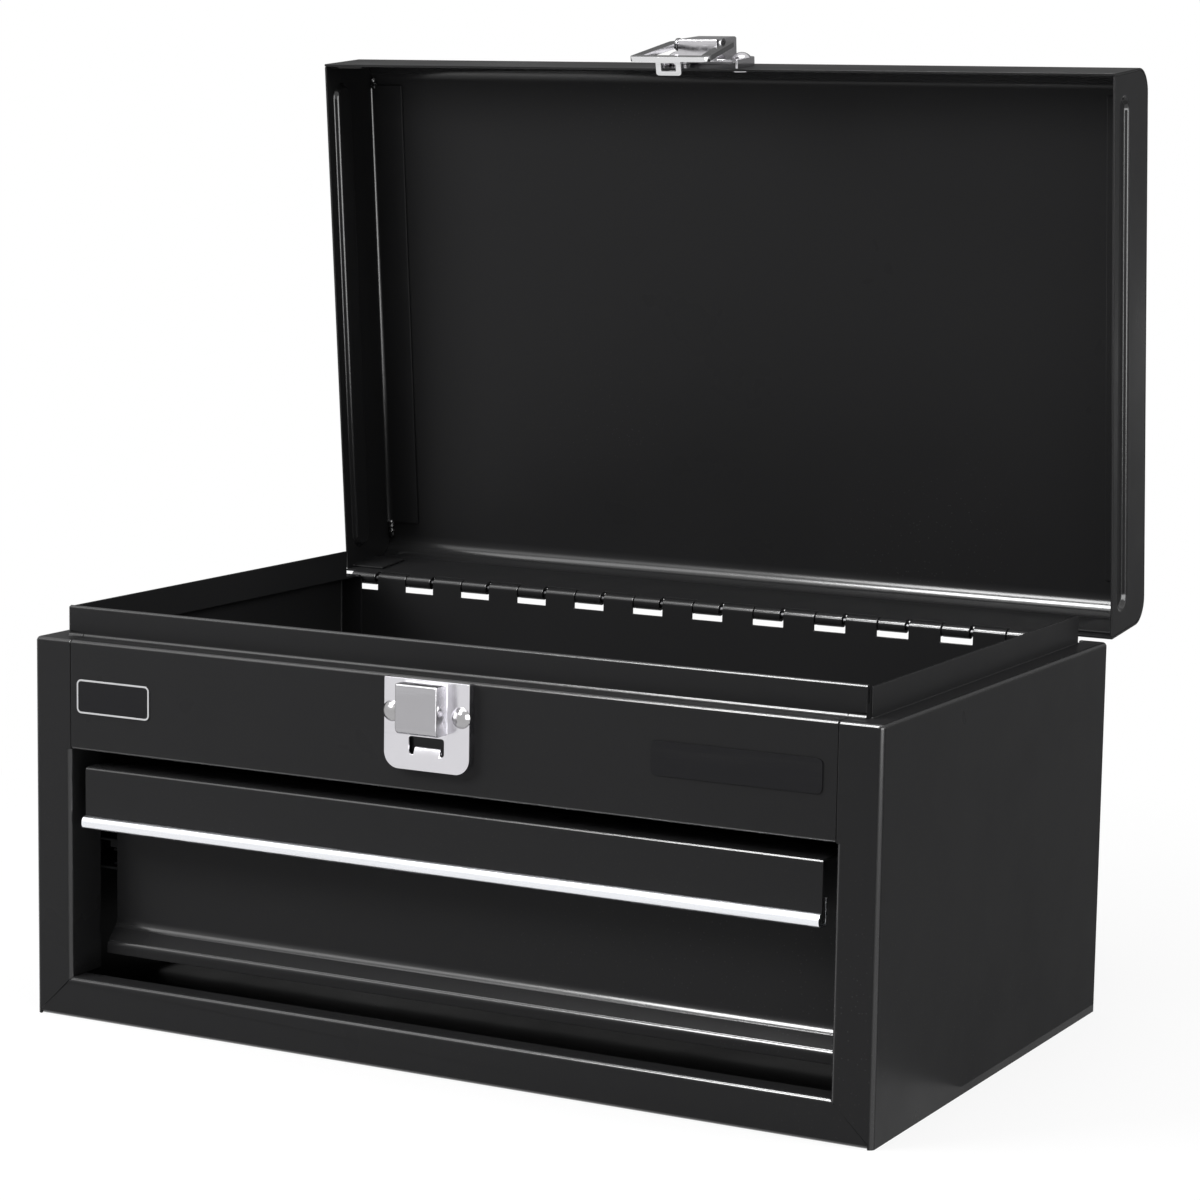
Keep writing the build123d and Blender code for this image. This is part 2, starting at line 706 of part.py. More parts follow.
export_step(right_drawer_rail.part, "parts/right_drawer_rail.step")

with BuildPart() as left_drawer_rail:
    mirror(right_drawer_rail.part, about=Plane.YZ)
left_drawer_rail.part.label = "left_drawer_rail"
export_step(left_drawer_rail.part, "parts/left_drawer_rail.step")

# Rivets between the rails and the pan, two on each side
with BuildPart() as rail_rivets:
    for side in (-1, 1):
        for rivet_y in (RAIL_START + DRAWER_RIVET_INSET, RAIL_END - DRAWER_RIVET_INSET):
            rivet_section = Plane(
                origin=(side * PAN_HALF, rivet_y, RAIL_LOW + RAIL_HEIGHT / 2),
                x_dir=(0, 1, 0),
                z_dir=(0, 0, -side),
            )
            with BuildSketch(rivet_section):
                with BuildLine():
                    tail_r = RAIL_HEIGHT / 2 - SHEET - RAIL_CLEAR
                    Polyline(
                        (0, -SHEET - DRAWER_HEAD),
                        (DRAWER_HEAD_R - DRAWER_HEAD / 2, -SHEET - DRAWER_HEAD),
                        (DRAWER_HEAD_R, -SHEET - DRAWER_HEAD / 2),
                        (DRAWER_HEAD_R, -SHEET),
                        (DRAWER_RIVET_R, -SHEET),
                        (DRAWER_RIVET_R, SHEET),
                        (tail_r, SHEET),
                        (tail_r, SHEET + DRAWER_HEAD),
                        (0, SHEET + DRAWER_HEAD),
                        close=True,
                    )
                make_face()
            revolve(axis=Axis(rivet_section.origin, rivet_section.y_dir))
rail_rivets.part.label = "rail_rivets"
export_step(rail_rivets.part, "parts/rail_rivets.step")

# Latch keeper on the case: shallow pan with a catch block and a hole
KEEPER_FACE = Plane.XZ.offset(-FRONT)
with BuildPart() as latch_keeper:
    with BuildSketch(KEEPER_FACE) as keeper_outline:
        with Locations((0, KEEPER_BOTTOM)):
            Rectangle(LATCH_WIDTH, KEEPER_TOP - KEEPER_BOTTOM, align=(Align.CENTER, Align.MIN))
        fillet(keeper_outline.vertices().group_by(Axis.Y)[0], radius=LATCH_CORNER)
    extrude(amount=LATCH_DEPTH)
    with BuildSketch(KEEPER_FACE) as keeper_hollow:
        with Locations((0, KEEPER_BOTTOM + LATCH_SHEET)):
            Rectangle(LATCH_WIDTH - 2 * LATCH_SHEET, KEEPER_TOP - KEEPER_BOTTOM, align=(Align.CENTER, Align.MIN))
        fillet(keeper_hollow.vertices().group_by(Axis.Y)[0], radius=LATCH_CORNER - LATCH_SHEET)
    extrude(amount=LATCH_DEPTH - LATCH_SHEET, mode=Mode.SUBTRACT)
    with BuildSketch(KEEPER_FACE.offset(LATCH_DEPTH)) as keeper_block:
        with Locations((0, BLOCK_BOTTOM)):
            Rectangle(BLOCK_WIDTH, KEEPER_TOP - BLOCK_TOP_GAP - BLOCK_BOTTOM, align=(Align.CENTER, Align.MIN))
    extrude(amount=BLOCK_PROUD)
    block_front = latch_keeper.faces().sort_by(Axis.Y)[0]
    fillet(block_front.edges().sort_by(Axis.Z)[0], radius=BLOCK_TOE)
    block_edges = latch_keeper.faces().sort_by(Axis.Y)[0].edges().filter_by(Axis.Z)
    fillet(block_edges + latch_keeper.faces().sort_by(Axis.Y)[0].edges().sort_by(Axis.Z)[-1:], radius=BLOCK_EDGE)
    # Hollow of the block, open to the back
    with BuildSketch(KEEPER_FACE) as block_hollow:
        with Locations((0, BLOCK_BOTTOM + LATCH_SHEET)):
            Rectangle(
                BLOCK_WIDTH - 2 * LATCH_SHEET,
                KEEPER_TOP - BLOCK_TOP_GAP - BLOCK_BOTTOM - 2 * LATCH_SHEET,
                align=(Align.CENTER, Align.MIN),
            )
    extrude(amount=LATCH_DEPTH + BLOCK_PROUD - BLOCK_TOE, mode=Mode.SUBTRACT)
    # Hole under the block
    with BuildSketch(KEEPER_FACE) as keyhole:
        with Locations((0, KEYHOLE_BOTTOM)):
            Rectangle(KEYHOLE_WIDTH, KEYHOLE_HEIGHT, align=(Align.CENTER, Align.MIN))
        fillet(keyhole.vertices(), radius=LATCH_SHEET)
    extrude(amount=LATCH_DEPTH, mode=Mode.SUBTRACT)
    # Tongue bent back from the lower edge of the hole
    with BuildSketch(Plane.YZ) as tongue_section:
        with BuildLine():
            Polyline(
                (FRONT - LATCH_DEPTH, KEYHOLE_BOTTOM),
                (FRONT - LATCH_DEPTH + LATCH_SHEET, KEYHOLE_BOTTOM + TONGUE_RISE),
                (FRONT - LATCH_DEPTH + 2 * LATCH_SHEET, KEYHOLE_BOTTOM + TONGUE_RISE),
                (FRONT - LATCH_DEPTH + LATCH_SHEET, KEYHOLE_BOTTOM - LATCH_SHEET),
                (FRONT - LATCH_DEPTH, KEYHOLE_BOTTOM - LATCH_SHEET),
                close=True,
            )
        make_face()
    extrude(amount=TONGUE_WIDTH / 2, both=True)
    # Rivet holes
    with BuildSketch(KEEPER_FACE) as keeper_holes:
        with Locations((0, KEEPER_RIVET_Z)):
            with GridLocations(LATCH_RIVET_SPAN, 0, 2, 1):
                Circle(LATCH_RIVET_R + RIVET_FIT)
    extrude(amount=LATCH_DEPTH, mode=Mode.SUBTRACT)
latch_keeper.part.label = "latch_keeper"
export_step(latch_keeper.part, "parts/latch_keeper.step")

# Keeper rivets with domed heads
with BuildPart() as keeper_rivets:
    for side in (-1, 1):
        domed_rivet(
            Plane(
                origin=(side * LATCH_RIVET_SPAN / 2, FRONT, KEEPER_RIVET_Z),
                x_dir=(1, 0, 0),
                z_dir=(0, -1, 0),
            )
        )
keeper_rivets.part.label = "keeper_rivets"
export_step(keeper_rivets.part, "parts/keeper_rivets.step")

# Label plates, left plain
with BuildPart() as nameplate_left:
    with BuildSketch(KEEPER_FACE) as left_plate:
        with Locations((LEFT_PLATE_X, LEFT_PLATE_Z)):
            RectangleRounded(
                LEFT_PLATE_WIDTH - 2 * LEFT_PLATE_BORDER,
                LEFT_PLATE_HEIGHT - 2 * LEFT_PLATE_BORDER,
                PLATE_CORNER - LEFT_PLATE_BORDER,
            )
    extrude(amount=PLATE_SHEET)
nameplate_left.part.label = "nameplate_left"
export_step(nameplate_left.part, "parts/nameplate_left.step")

with BuildPart() as nameplate_left_border:
    with BuildSketch(KEEPER_FACE) as left_border:
        with Locations((LEFT_PLATE_X, LEFT_PLATE_Z)):
            RectangleRounded(LEFT_PLATE_WIDTH, LEFT_PLATE_HEIGHT, PLATE_CORNER)
            RectangleRounded(
                LEFT_PLATE_WIDTH - 2 * LEFT_PLATE_BORDER,
                LEFT_PLATE_HEIGHT - 2 * LEFT_PLATE_BORDER,
                PLATE_CORNER - LEFT_PLATE_BORDER,
                mode=Mode.SUBTRACT,
            )
    extrude(amount=PLATE_SHEET)
nameplate_left_border.part.label = "nameplate_left_border"
export_step(nameplate_left_border.part, "parts/nameplate_left_border.step")

with BuildPart() as nameplate_right:
    with BuildSketch(KEEPER_FACE) as right_plate:
        with Locations((RIGHT_PLATE_X, RIGHT_PLATE_Z)):
            RectangleRounded(RIGHT_PLATE_WIDTH, RIGHT_PLATE_HEIGHT, PLATE_CORNER)
    extrude(amount=PLATE_SHEET)
nameplate_right.part.label = "nameplate_right"
export_step(nameplate_right.part, "parts/nameplate_right.step")

# Lid shell: front skirt, top and rear skirt with wide bends, and the lid's
# hinge knuckles along the rear skirt
with BuildPart() as lid_shell:
    with BuildSketch(LID_SECTION) as lid_profile:
        with BuildLine() as lid_line:
            FilletPolyline(
                (LID_FRONT, RIM_B),
                (LID_FRONT, TOP_B),
                (LID_REAR, TOP_B),
                (LID_REAR, RIM_B),
                radius=LID_BEND,
            )
            offset(amount=SHEET, side=Side.RIGHT)
        make_face()
    extrude(amount=HALF, both=True)
    for start in lid_knuckle_starts():
        # Notch over the case knuckle
        with BuildSketch(LID_SECTION.offset(start + KNUCKLE - KNUCKLE_PLAY)) as lid_notch:
            with Locations((LID_REAR - SHEET / 2, 0)):
                Rectangle(2 * SHEET, 2 * LID_NOTCH)
        extrude(amount=KNUCKLE + KNUCKLE_PLAY + KNUCKLE_GAP, mode=Mode.SUBTRACT)
        # Lid knuckle and the skirt that runs down to it
        with BuildSketch(LID_SECTION.offset(start + KNUCKLE_GAP)) as lid_knuckle:
            Circle(BARREL_R)
            with Locations((LID_REAR - SHEET, 0)):
                Rectangle(SHEET, RIM_B + SHEET, align=(Align.MIN, Align.MIN))
        extrude(amount=KNUCKLE - KNUCKLE_GAP - KNUCKLE_PLAY)
    with BuildSketch(LID_SECTION) as lid_bore:
        Circle(PIN_R + PIN_CLEAR)
    extrude(amount=HALF, both=True, mode=Mode.SUBTRACT)
    # Rivet holes of the latch base
    lid_skirt = Plane(
        origin=LID_FRAME.from_local_coords((0, LID_FRONT, RIM_B)),
        x_dir=(1, 0, 0),
        z_dir=LID_FRAME.y_dir * -1,
    )
    with BuildSketch(lid_skirt) as lid_holes:
        with Locations((0, BASE_RIVET_RISE)):
            with GridLocations(LATCH_RIVET_SPAN, 0, 2, 1):
                Circle(LATCH_RIVET_R + RIVET_FIT)
    extrude(amount=-2 * SHEET, mode=Mode.SUBTRACT)
lid_shell.part.label = "lid_shell"
export_step(lid_shell.part, "parts/lid_shell.step")

# Lid end panels: plate inside the shell with a pressed bead and welded tabs
for side_name, side in (("left", -1), ("right", 1)):
    with BuildPart() as lid_end:
        end_plane = Plane(
            origin=LID_FRAME.from_local_coords((side * HALF, 0, 0)),
            x_dir=LID_FRAME.y_dir * side,
            z_dir=LID_FRAME.x_dir * side,
        )
        mid_a = side * (LID_FRONT + LID_REAR) / 2
        span_a = DEPTH - 2 * (SHEET + TAB_SEAT)
        with BuildSketch(end_plane) as end_outline:
            with Locations((mid_a, RIM_B)):
                Rectangle(span_a, LID_HEIGHT - SHEET - TAB_SEAT, align=(Align.CENTER, Align.MIN))
            fillet(end_outline.vertices().group_by(Axis.Y)[-1], radius=LID_BEND - SHEET)
        extrude(amount=-SHEET)
        # Bead pressed inward with rounded edges
        end_axis = Axis(end_plane.origin, end_plane.z_dir)
        with BuildSketch(end_plane.offset(-SHEET)) as bead_ridge:
            with Locations((mid_a, RIM_B + BEAD_RISE)):
                SlotOverall(BEAD_LENGTH, BEAD_WIDTH)
        extrude(amount=-BEAD_DEPTH, taper=BEAD_TAPER)
        fillet(lid_end.faces().sort_by(end_axis)[0].edges(), radius=BEAD_ROUND)
        with BuildSketch(end_plane) as bead_groove:
            with Locations((mid_a, RIM_B + BEAD_RISE)):
                SlotOverall(BEAD_LENGTH - SHEET, BEAD_WIDTH - SHEET)
        extrude(amount=-BEAD_DEPTH, taper=BEAD_TAPER, mode=Mode.SUBTRACT)
        groove_mouth = lid_end.faces().sort_by(end_axis)[-1].inner_wires()[0]
        fillet(groove_mouth.edges(), radius=BEAD_ROUND)
        # Tabs along the top, the front skirt and the rear skirt
        tab_front = LID_FRONT + SHEET + TAB_SEAT + LID_BEND + TAB_FRONT_CLEAR
        tab_rear = LID_REAR - SHEET - TAB_SEAT - LID_BEND - TAB_REAR_CLEAR
        with BuildSketch(end_plane.offset(-SHEET)) as end_tabs:
            with Locations((side * (tab_front + tab_rear) / 2, TOP_B - SHEET - TAB_SEAT)):
                Rectangle(tab_rear - tab_front, SHEET, align=(Align.CENTER, Align.MAX))
            with Locations((mid_a, RIM_B + TAB_CLEAR)):
                with GridLocations(span_a - SHEET, 0, 2, 1):
                    Rectangle(
                        SHEET,
                        LID_HEIGHT - LID_BEND - 2 * TAB_CLEAR,
                        align=(Align.CENTER, Align.MIN),
                    )
        extrude(amount=-(TAB_WIDTH - SHEET))
    end_name = f"lid_{side_name}_end"
    lid_end.part.label = end_name
    export_step(lid_end.part, f"parts/{end_name}.step")

# Latch base on the lid's front skirt: shallow pan with the hasp's pivot block
BASE_TOP = BASE_BOTTOM + BASE_HEIGHT
with BuildPart() as latch_base:
    with BuildSketch(lid_skirt) as base_outline:
        with Locations((0, BASE_BOTTOM)):
            Rectangle(LATCH_WIDTH, BASE_HEIGHT, align=(Align.CENTER, Align.MIN))
        fillet(base_outline.vertices().group_by(Axis.Y)[-1], radius=LATCH_CORNER)
    extrude(amount=LATCH_DEPTH)
    with BuildSketch(lid_skirt) as base_hollow:
        with Locations((0, BASE_BOTTOM - LATCH_SHEET)):
            Rectangle(LATCH_WIDTH - 2 * LATCH_SHEET, BASE_HEIGHT, align=(Align.CENTER, Align.MIN))
        fillet(base_hollow.vertices().group_by(Axis.Y)[-1], radius=LATCH_CORNER - LATCH_SHEET)
    extrude(amount=LATCH_DEPTH - LATCH_SHEET, mode=Mode.SUBTRACT)
    with BuildSketch(lid_skirt.offset(LATCH_DEPTH - LATCH_SHEET)) as base_block:
        with Locations((0, BASE_BOTTOM)):
            Rectangle(BLOCK_WIDTH, BASE_BLOCK, align=(Align.CENTER, Align.MIN))
    extrude(amount=LATCH_SHEET + BLOCK_PROUD)
    base_front = latch_base.faces().sort_by(Axis(lid_skirt.origin, lid_skirt.z_dir))[-1]
    fillet(base_front.edges(), radius=BLOCK_EDGE)
    # Slot under the block's lower end
    slot_plane = Plane(
        origin=lid_skirt.from_local_coords((0, 0, 0)),
        x_dir=(1, 0, 0),
        z_dir=lid_skirt.y_dir * -1,
    )
    with BuildSketch(slot_plane) as base_slot:
        with Locations((0, LATCH_DEPTH)):
            Rectangle(BASE_SLOT, BASE_SLOT_HEIGHT, align=(Align.CENTER, Align.CENTER))
    extrude(amount=-BASE_BLOCK + LATCH_SHEET, mode=Mode.SUBTRACT)
    # Pivot bore
    with BuildSketch(Plane(origin=HASP_FRAME.origin, x_dir=LID_FRAME.y_dir, z_dir=LID_FRAME.x_dir)):
        Circle(PIVOT_R)
    extrude(amount=BLOCK_WIDTH, both=True, mode=Mode.SUBTRACT)
    with BuildSketch(lid_skirt) as base_holes:
        with Locations((0, BASE_RIVET_RISE)):
            with GridLocations(LATCH_RIVET_SPAN, 0, 2, 1):
                Circle(LATCH_RIVET_R + RIVET_FIT)
    extrude(amount=LATCH_DEPTH, mode=Mode.SUBTRACT)
latch_base.part.label = "latch_base"
export_step(latch_base.part, "parts/latch_base.step")

# Latch rivets with domed heads
with BuildPart() as latch_rivets:
    for side in (-1, 1):
        domed_rivet(
            Plane(
                origin=lid_skirt.from_local_coords((side * LATCH_RIVET_SPAN / 2, BASE_RIVET_RISE, 0)),
                x_dir=(1, 0, 0),
                z_dir=lid_skirt.z_dir,
            )
        )
latch_rivets.part.label = "latch_rivets"
export_step(latch_rivets.part, "parts/latch_rivets.step")

# Hasp pivot pin
EAR_IN = BLOCK_WIDTH / 2 + EAR_GAP
EAR_OUT = EAR_IN + HASP_SHEET
PIVOT_SECTION = Plane(origin=HASP_FRAME.origin, x_dir=HASP_FRAME.y_dir, z_dir=HASP_FRAME.x_dir)
with BuildPart() as latch_pin:
    with BuildSketch(PIVOT_SECTION) as pivot_section:
        Circle(PIVOT_R)
    extrude(amount=EAR_OUT, both=True)
latch_pin.part.label = "latch_pin"
export_step(latch_pin.part, "parts/latch_pin.step")

# Hasp: flanged frame that hangs on the pivot, with a loop on its lower bar
HASP_WEB = HASP_FLANGE / 2
with BuildPart() as latch_hasp:
    with BuildSketch(HASP_FRAME.offset(-HASP_WEB)) as hasp_outline:
        with BuildLine():
            Polyline(
                (-HASP_BOTTOM_WIDTH / 2, -HASP_LENGTH),
                (HASP_BOTTOM_WIDTH / 2, -HASP_LENGTH),
                (HASP_TOP_WIDTH / 2, EAR_RISE),
                (-HASP_TOP_WIDTH / 2, EAR_RISE),
                close=True,
            )
        make_face()
        fillet(hasp_outline.vertices(), radius=2 * HASP_SHEET)
    extrude(amount=HASP_FLANGE)
    # Hollow behind the web, inside the flanges
    with BuildSketch(HASP_FRAME.offset(-HASP_WEB)) as hasp_hollow:
        offset(hasp_outline.sketch, amount=-HASP_SHEET)
    extrude(amount=HASP_FLANGE - HASP_SHEET, mode=Mode.SUBTRACT)
    # Window for the blocks
    with BuildSketch(HASP_FRAME.offset(-HASP_WEB)) as hasp_window:
        with BuildLine():
            Polyline(
                (-HASP_BOTTOM_WIDTH / 2 + HASP_ARM, -HASP_LENGTH + HASP_BAR),
                (HASP_BOTTOM_WIDTH / 2 - HASP_ARM, -HASP_LENGTH + HASP_BAR),
                (EAR_IN, 0),
                (EAR_IN, 2 * EAR_RISE),
                (-EAR_IN, 2 * EAR_RISE),
                (-EAR_IN, 0),
                close=True,
            )
        make_face()
    extrude(amount=HASP_FLANGE, mode=Mode.SUBTRACT)
    # Ears beside the block
    for side in (-1, 1):
        ear_plane = PIVOT_SECTION.offset(side * EAR_IN)
        with BuildSketch(ear_plane) as ear:
            Circle(EAR_RISE)
            with Locations((-EAR_RISE, -HASP_WEB)):
                Rectangle(2 * EAR_RISE, HASP_FLANGE, align=(Align.MIN, Align.MIN))
        extrude(amount=side * HASP_SHEET)
    with BuildSketch(PIVOT_SECTION) as ear_bore:
        Circle(PIVOT_R + PIN_CLEAR)
    extrude(amount=EAR_OUT, both=True, mode=Mode.SUBTRACT)
    # Loop turned back from the lower flange
    loop_plane = Plane(
        origin=HASP_FRAME.from_local_coords((0, -HASP_LENGTH, -HASP_WEB)),
        x_dir=(1, 0, 0),
        z_dir=HASP_FRAME.y_dir,
    )
    with BuildSketch(loop_plane) as loop_outline:
        with Locations((0, -HASP_SHEET)):
            Rectangle(LOOP_WIDTH, LOOP_REACH + HASP_SHEET, align=(Align.CENTER, Align.MIN))
        fillet(loop_outline.vertices().group_by(Axis.Y)[-1], radius=HASP_SHEET)
        with Locations((0, (LOOP_REACH - HASP_SHEET) / 2)):
            Rectangle(LOOP_HOLE_WIDTH, LOOP_HOLE, mode=Mode.SUBTRACT)
    extrude(amount=HASP_SHEET)
latch_hasp.part.label = "latch_hasp"
export_step(latch_hasp.part, "parts/latch_hasp.step")
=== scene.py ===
"""Dresses the mini tool box: black paint, bright metal, soft sheet edges, studio and camera."""

import logging
import math
from dataclasses import dataclass
from enum import Enum

import bmesh
import bpy
from mathutils import Matrix, Vector


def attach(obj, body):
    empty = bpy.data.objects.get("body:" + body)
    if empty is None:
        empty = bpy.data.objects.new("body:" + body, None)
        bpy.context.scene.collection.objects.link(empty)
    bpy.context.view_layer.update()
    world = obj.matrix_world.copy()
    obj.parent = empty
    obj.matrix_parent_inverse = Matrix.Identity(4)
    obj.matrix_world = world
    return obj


Span = tuple[float, float]
Triple = tuple[float, float, float]

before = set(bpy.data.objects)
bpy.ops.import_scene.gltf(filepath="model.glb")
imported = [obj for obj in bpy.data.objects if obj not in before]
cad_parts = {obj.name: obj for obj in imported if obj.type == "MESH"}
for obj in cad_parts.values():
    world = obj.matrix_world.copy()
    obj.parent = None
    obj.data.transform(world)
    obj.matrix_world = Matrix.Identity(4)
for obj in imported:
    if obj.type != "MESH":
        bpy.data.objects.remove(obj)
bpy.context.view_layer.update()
LOG = logging.getLogger("tool_box")
BEND_MARK = "bend"
WHITE = (1.0, 1.0, 1.0, 1.0)
X_AXIS = (1.0, 0.0, 0.0)
Y_AXIS = (0.0, 1.0, 0.0)
SIDES = (("left", -1.0), ("right", 1.0))


class Finish(Enum):
    """The finishes that the tool box shows."""

    PAINT = "gloss_black_paint"
    CHROME = "bright_chrome"
    KEEPER = "keeper_chrome"
    HASP = "hasp_chrome"
    # The rivet finish is a darker copy of chrome, as painted shade.
    SHADED_RIVET = "rivet_chrome_painted_shade"
    TRIM = "drawn_aluminium"
    STEEL = "plain_steel"
    BLACKED = "blackened_steel"
    PLATE = "label_black"
    BORDER = "label_border"


class LampUse(Enum):
    """What a lamp does for the picture."""

    GLEAM = "reflections only"
    FILL = "light only"
    BOTH = "light and reflections"


class NodeGraph:
    """Small helper that adds and links nodes in one node tree."""

    def __init__(self, tree: bpy.types.NodeTree) -> None:
        """Keeps the tree.

        Args:
            tree: the node tree to fill.
        """
        self.tree = tree

    def add(self, kind: str, **settings: object) -> bpy.types.Node:
        """Adds a node and sets its properties and unlinked inputs.

        Args:
            kind: the node's type name.
            settings: properties by name, or inputs by name with blanks as underscores.

        Returns:
            The new node.
        """
        node = self.tree.nodes.new(kind)
        for name, value in settings.items():
            if hasattr(node, name):
                setattr(node, name, value)
            else:
                node.inputs[name.replace("_", " ")].default_value = value
        return node

    def link(self, source: bpy.types.NodeSocket, target: bpy.types.NodeSocket) -> None:
        """Links an output to an input."""
        self.tree.links.new(source, target)

    def ramp(
        self,
        source: bpy.types.NodeSocket,
        span: Span,
        result: Span = (0.0, 1.0),
    ) -> bpy.types.NodeSocket:
        """Maps a value from one range to another, held at both ends.

        Args:
            source: the value to map.
            span: the values at the start and the end.
            result: what they are mapped to.

        Returns:
            The mapped value.
        """
        node = self.add(
            "ShaderNodeMapRange", From_Min=span[0], From_Max=span[1], To_Min=result[0], To_Max=result[1],
        )
        self.link(source, node.inputs["Value"])
        return node.outputs["Result"]

    def work_out(
        self,
        operation: str,
        first: bpy.types.NodeSocket,
        second: bpy.types.NodeSocket | None = None,
    ) -> bpy.types.NodeSocket:
        """Adds one arithmetic node.

        Args:
            operation: the node's operation.
            first: the first value.
            second: the second value, if the operation takes two.

        Returns:
            The result.
        """
        node = self.add("ShaderNodeMath", operation=operation)
        self.link(first, node.inputs[0])
        if second is not None:
            self.link(second, node.inputs[1])
        return node.outputs["Value"]

    def mix_shaders(
        self,
        share: bpy.types.NodeSocket,
        first: bpy.types.NodeSocket,
        second: bpy.types.NodeSocket,
    ) -> bpy.types.NodeSocket:
        """Mixes two shaders.

        Args:
            share: how much of the second shows.
            first: the first shader.
            second: the second shader.

        Returns:
            The mixed shader.
        """
        mix = self.add("ShaderNodeMixShader")
        self.link(share, mix.inputs["Fac"])
        self.link(first, mix.inputs[1])
        self.link(second, mix.inputs[2])
        return mix.outputs["Shader"]


def start_material(name: str) -> tuple[bpy.types.Material, NodeGraph, bpy.types.Node]:
    """Starts a material.

    Args:
        name: the material's name.

    Returns:
        The material, its graph and its shader node.
    """
    material = bpy.data.materials.new(name)
    material.use_nodes = True
    return material, NodeGraph(material.node_tree), material.node_tree.nodes["Principled BSDF"]


def start_stage_material(name: str) -> tuple[bpy.types.Material, NodeGraph, bpy.types.NodeSocket]:
    """Starts a material with no shader yet, for the floor and the card.

    Args:
        name: the material's name.

    Returns:
        The material, its graph and the socket that takes its shader.
    """
    material, graph, _ = start_material(name)
    material.node_tree.nodes.clear()
    return material, graph, graph.add("ShaderNodeOutputMaterial").inputs["Surface"]


@dataclass
class SurfaceEffects:
    """Shader node groups that several finishes share, with the sizes of their patterns."""

    peel_scale: float = 300.0
    mottle_scale: float = 18.0
    speck_scale: float = 520.0
    speck_amount: float = 0.3
    speck_span: Span = (0.16, 0.06)
    patch_scale: float = 9.0
    patch_span: Span = (0.5, 0.72)
    bend_span: Span = (0.02, 0.12)
    scratch_scale: float = 60.0
    scratch_amount: float = 0.5
    scratch_turn: Triple = (0.3, 0.5, 0.2)
    scratch_stretch: Triple = (0.06, 1.0, 1.0)
    scratch_span: Span = (0.56, 0.68)

    def __post_init__(self) -> None:
        """Builds each group once."""
        self.peel = self._orange_peel()
        self.dust = self._dust()
        self.bends = self._bends()
        self.hairlines = self._hairlines()

    @staticmethod
    def _group(
        name: str,
        inputs: dict[str, float],
        outputs: tuple[str, ...],
    ) -> tuple[NodeGraph, bpy.types.Node, bpy.types.Node]:
        """Starts a group with named sockets.

        Args:
            name: the group's name.
            inputs: float inputs and their default values.
            outputs: names of the float outputs.

        Returns:
            The graph of the group, its entry node and its exit node.
        """
        group = bpy.data.node_groups.new(name, "ShaderNodeTree")
        for label, value in inputs.items():
            socket = group.interface.new_socket(label, in_out="INPUT", socket_type="NodeSocketFloat")
            socket.default_value = value
        for label in outputs:
            group.interface.new_socket(label, in_out="OUTPUT", socket_type="NodeSocketFloat")
        graph = NodeGraph(group)
        return graph, graph.add("NodeGroupInput"), graph.add("NodeGroupOutput")

    def _orange_peel(self) -> bpy.types.NodeTree:
        """Fine waviness of sprayed paint, as a height and a slow mottling.

        Returns:
            The node group.
        """
        inputs = {"Scale": self.peel_scale, "Mottle Scale": self.mottle_scale}
        graph, entry, leave = self._group("orange_peel", inputs, ("Height", "Mottle"))
        place = graph.add("ShaderNodeTexCoord")
        fine = graph.add("ShaderNodeTexNoise", Detail=2.0, Roughness=0.5)
        broad = graph.add("ShaderNodeTexNoise", Detail=4.0, Roughness=0.55)
        graph.link(place.outputs["Object"], fine.inputs["Vector"])
        graph.link(place.outputs["Object"], broad.inputs["Vector"])
        graph.link(entry.outputs["Scale"], fine.inputs["Scale"])
        graph.link(entry.outputs["Mottle Scale"], broad.inputs["Scale"])
        graph.link(fine.outputs["Fac"], leave.inputs["Height"])
        graph.link(broad.outputs["Fac"], leave.inputs["Mottle"])
        return graph.tree

    def _dust(self) -> bpy.types.NodeTree:
        """Sparse specks of dust, as a mask.

        Returns:
            The node group.
        """
        inputs = {"Scale": self.speck_scale, "Amount": self.speck_amount}
        graph, entry, leave = self._group("dust_specks", inputs, ("Mask",))
        place = graph.add("ShaderNodeTexCoord")
        cells = graph.add("ShaderNodeTexVoronoi", feature="F1")
        patches = graph.add("ShaderNodeTexNoise", Scale=self.patch_scale, Detail=3.0)
        graph.link(place.outputs["Object"], cells.inputs["Vector"])
        graph.link(place.outputs["Object"], patches.inputs["Vector"])
        graph.link(entry.outputs["Scale"], cells.inputs["Scale"])
        speck = graph.ramp(cells.outputs["Distance"], self.speck_span)
        patch = graph.ramp(patches.outputs["Fac"], self.patch_span)
        found = graph.work_out("MULTIPLY", speck, patch)
        graph.link(graph.work_out("MULTIPLY", found, entry.outputs["Amount"]), leave.inputs["Mask"])
        return graph.tree

    def _bends(self) -> bpy.types.NodeTree:
        """Bends and rolled edges, where the sheet faces none of its main ways.

        Returns:
            The node group.
        """
        inputs = {"Start": self.bend_span[0], "End": self.bend_span[1]}
        graph, entry, leave = self._group("bend_mask", inputs, ("Mask",))
        place = graph.add("ShaderNodeTexCoord")
        split = graph.add("ShaderNodeSeparateXYZ")
        graph.link(place.outputs["Normal"], split.inputs["Vector"])
        sides = [graph.work_out("ABSOLUTE", split.outputs[axis]) for axis in "XYZ"]
        most = graph.work_out("MAXIMUM", graph.work_out("MAXIMUM", sides[0], sides[1]), sides[2])
        turned = graph.add("ShaderNodeMath", operation="SUBTRACT")
        turned.inputs[0].default_value = 1.0
        graph.link(most, turned.inputs[1])
        mask = graph.add("ShaderNodeMapRange")
        graph.link(turned.outputs["Value"], mask.inputs["Value"])
        graph.link(entry.outputs["Start"], mask.inputs["From Min"])
        graph.link(entry.outputs["End"], mask.inputs["From Max"])
        curved = graph.add("ShaderNodeAttribute", attribute_name=BEND_MARK)
        found = graph.work_out("MULTIPLY", mask.outputs["Result"], curved.outputs["Fac"])
        graph.link(found, leave.inputs["Mask"])
        return graph.tree

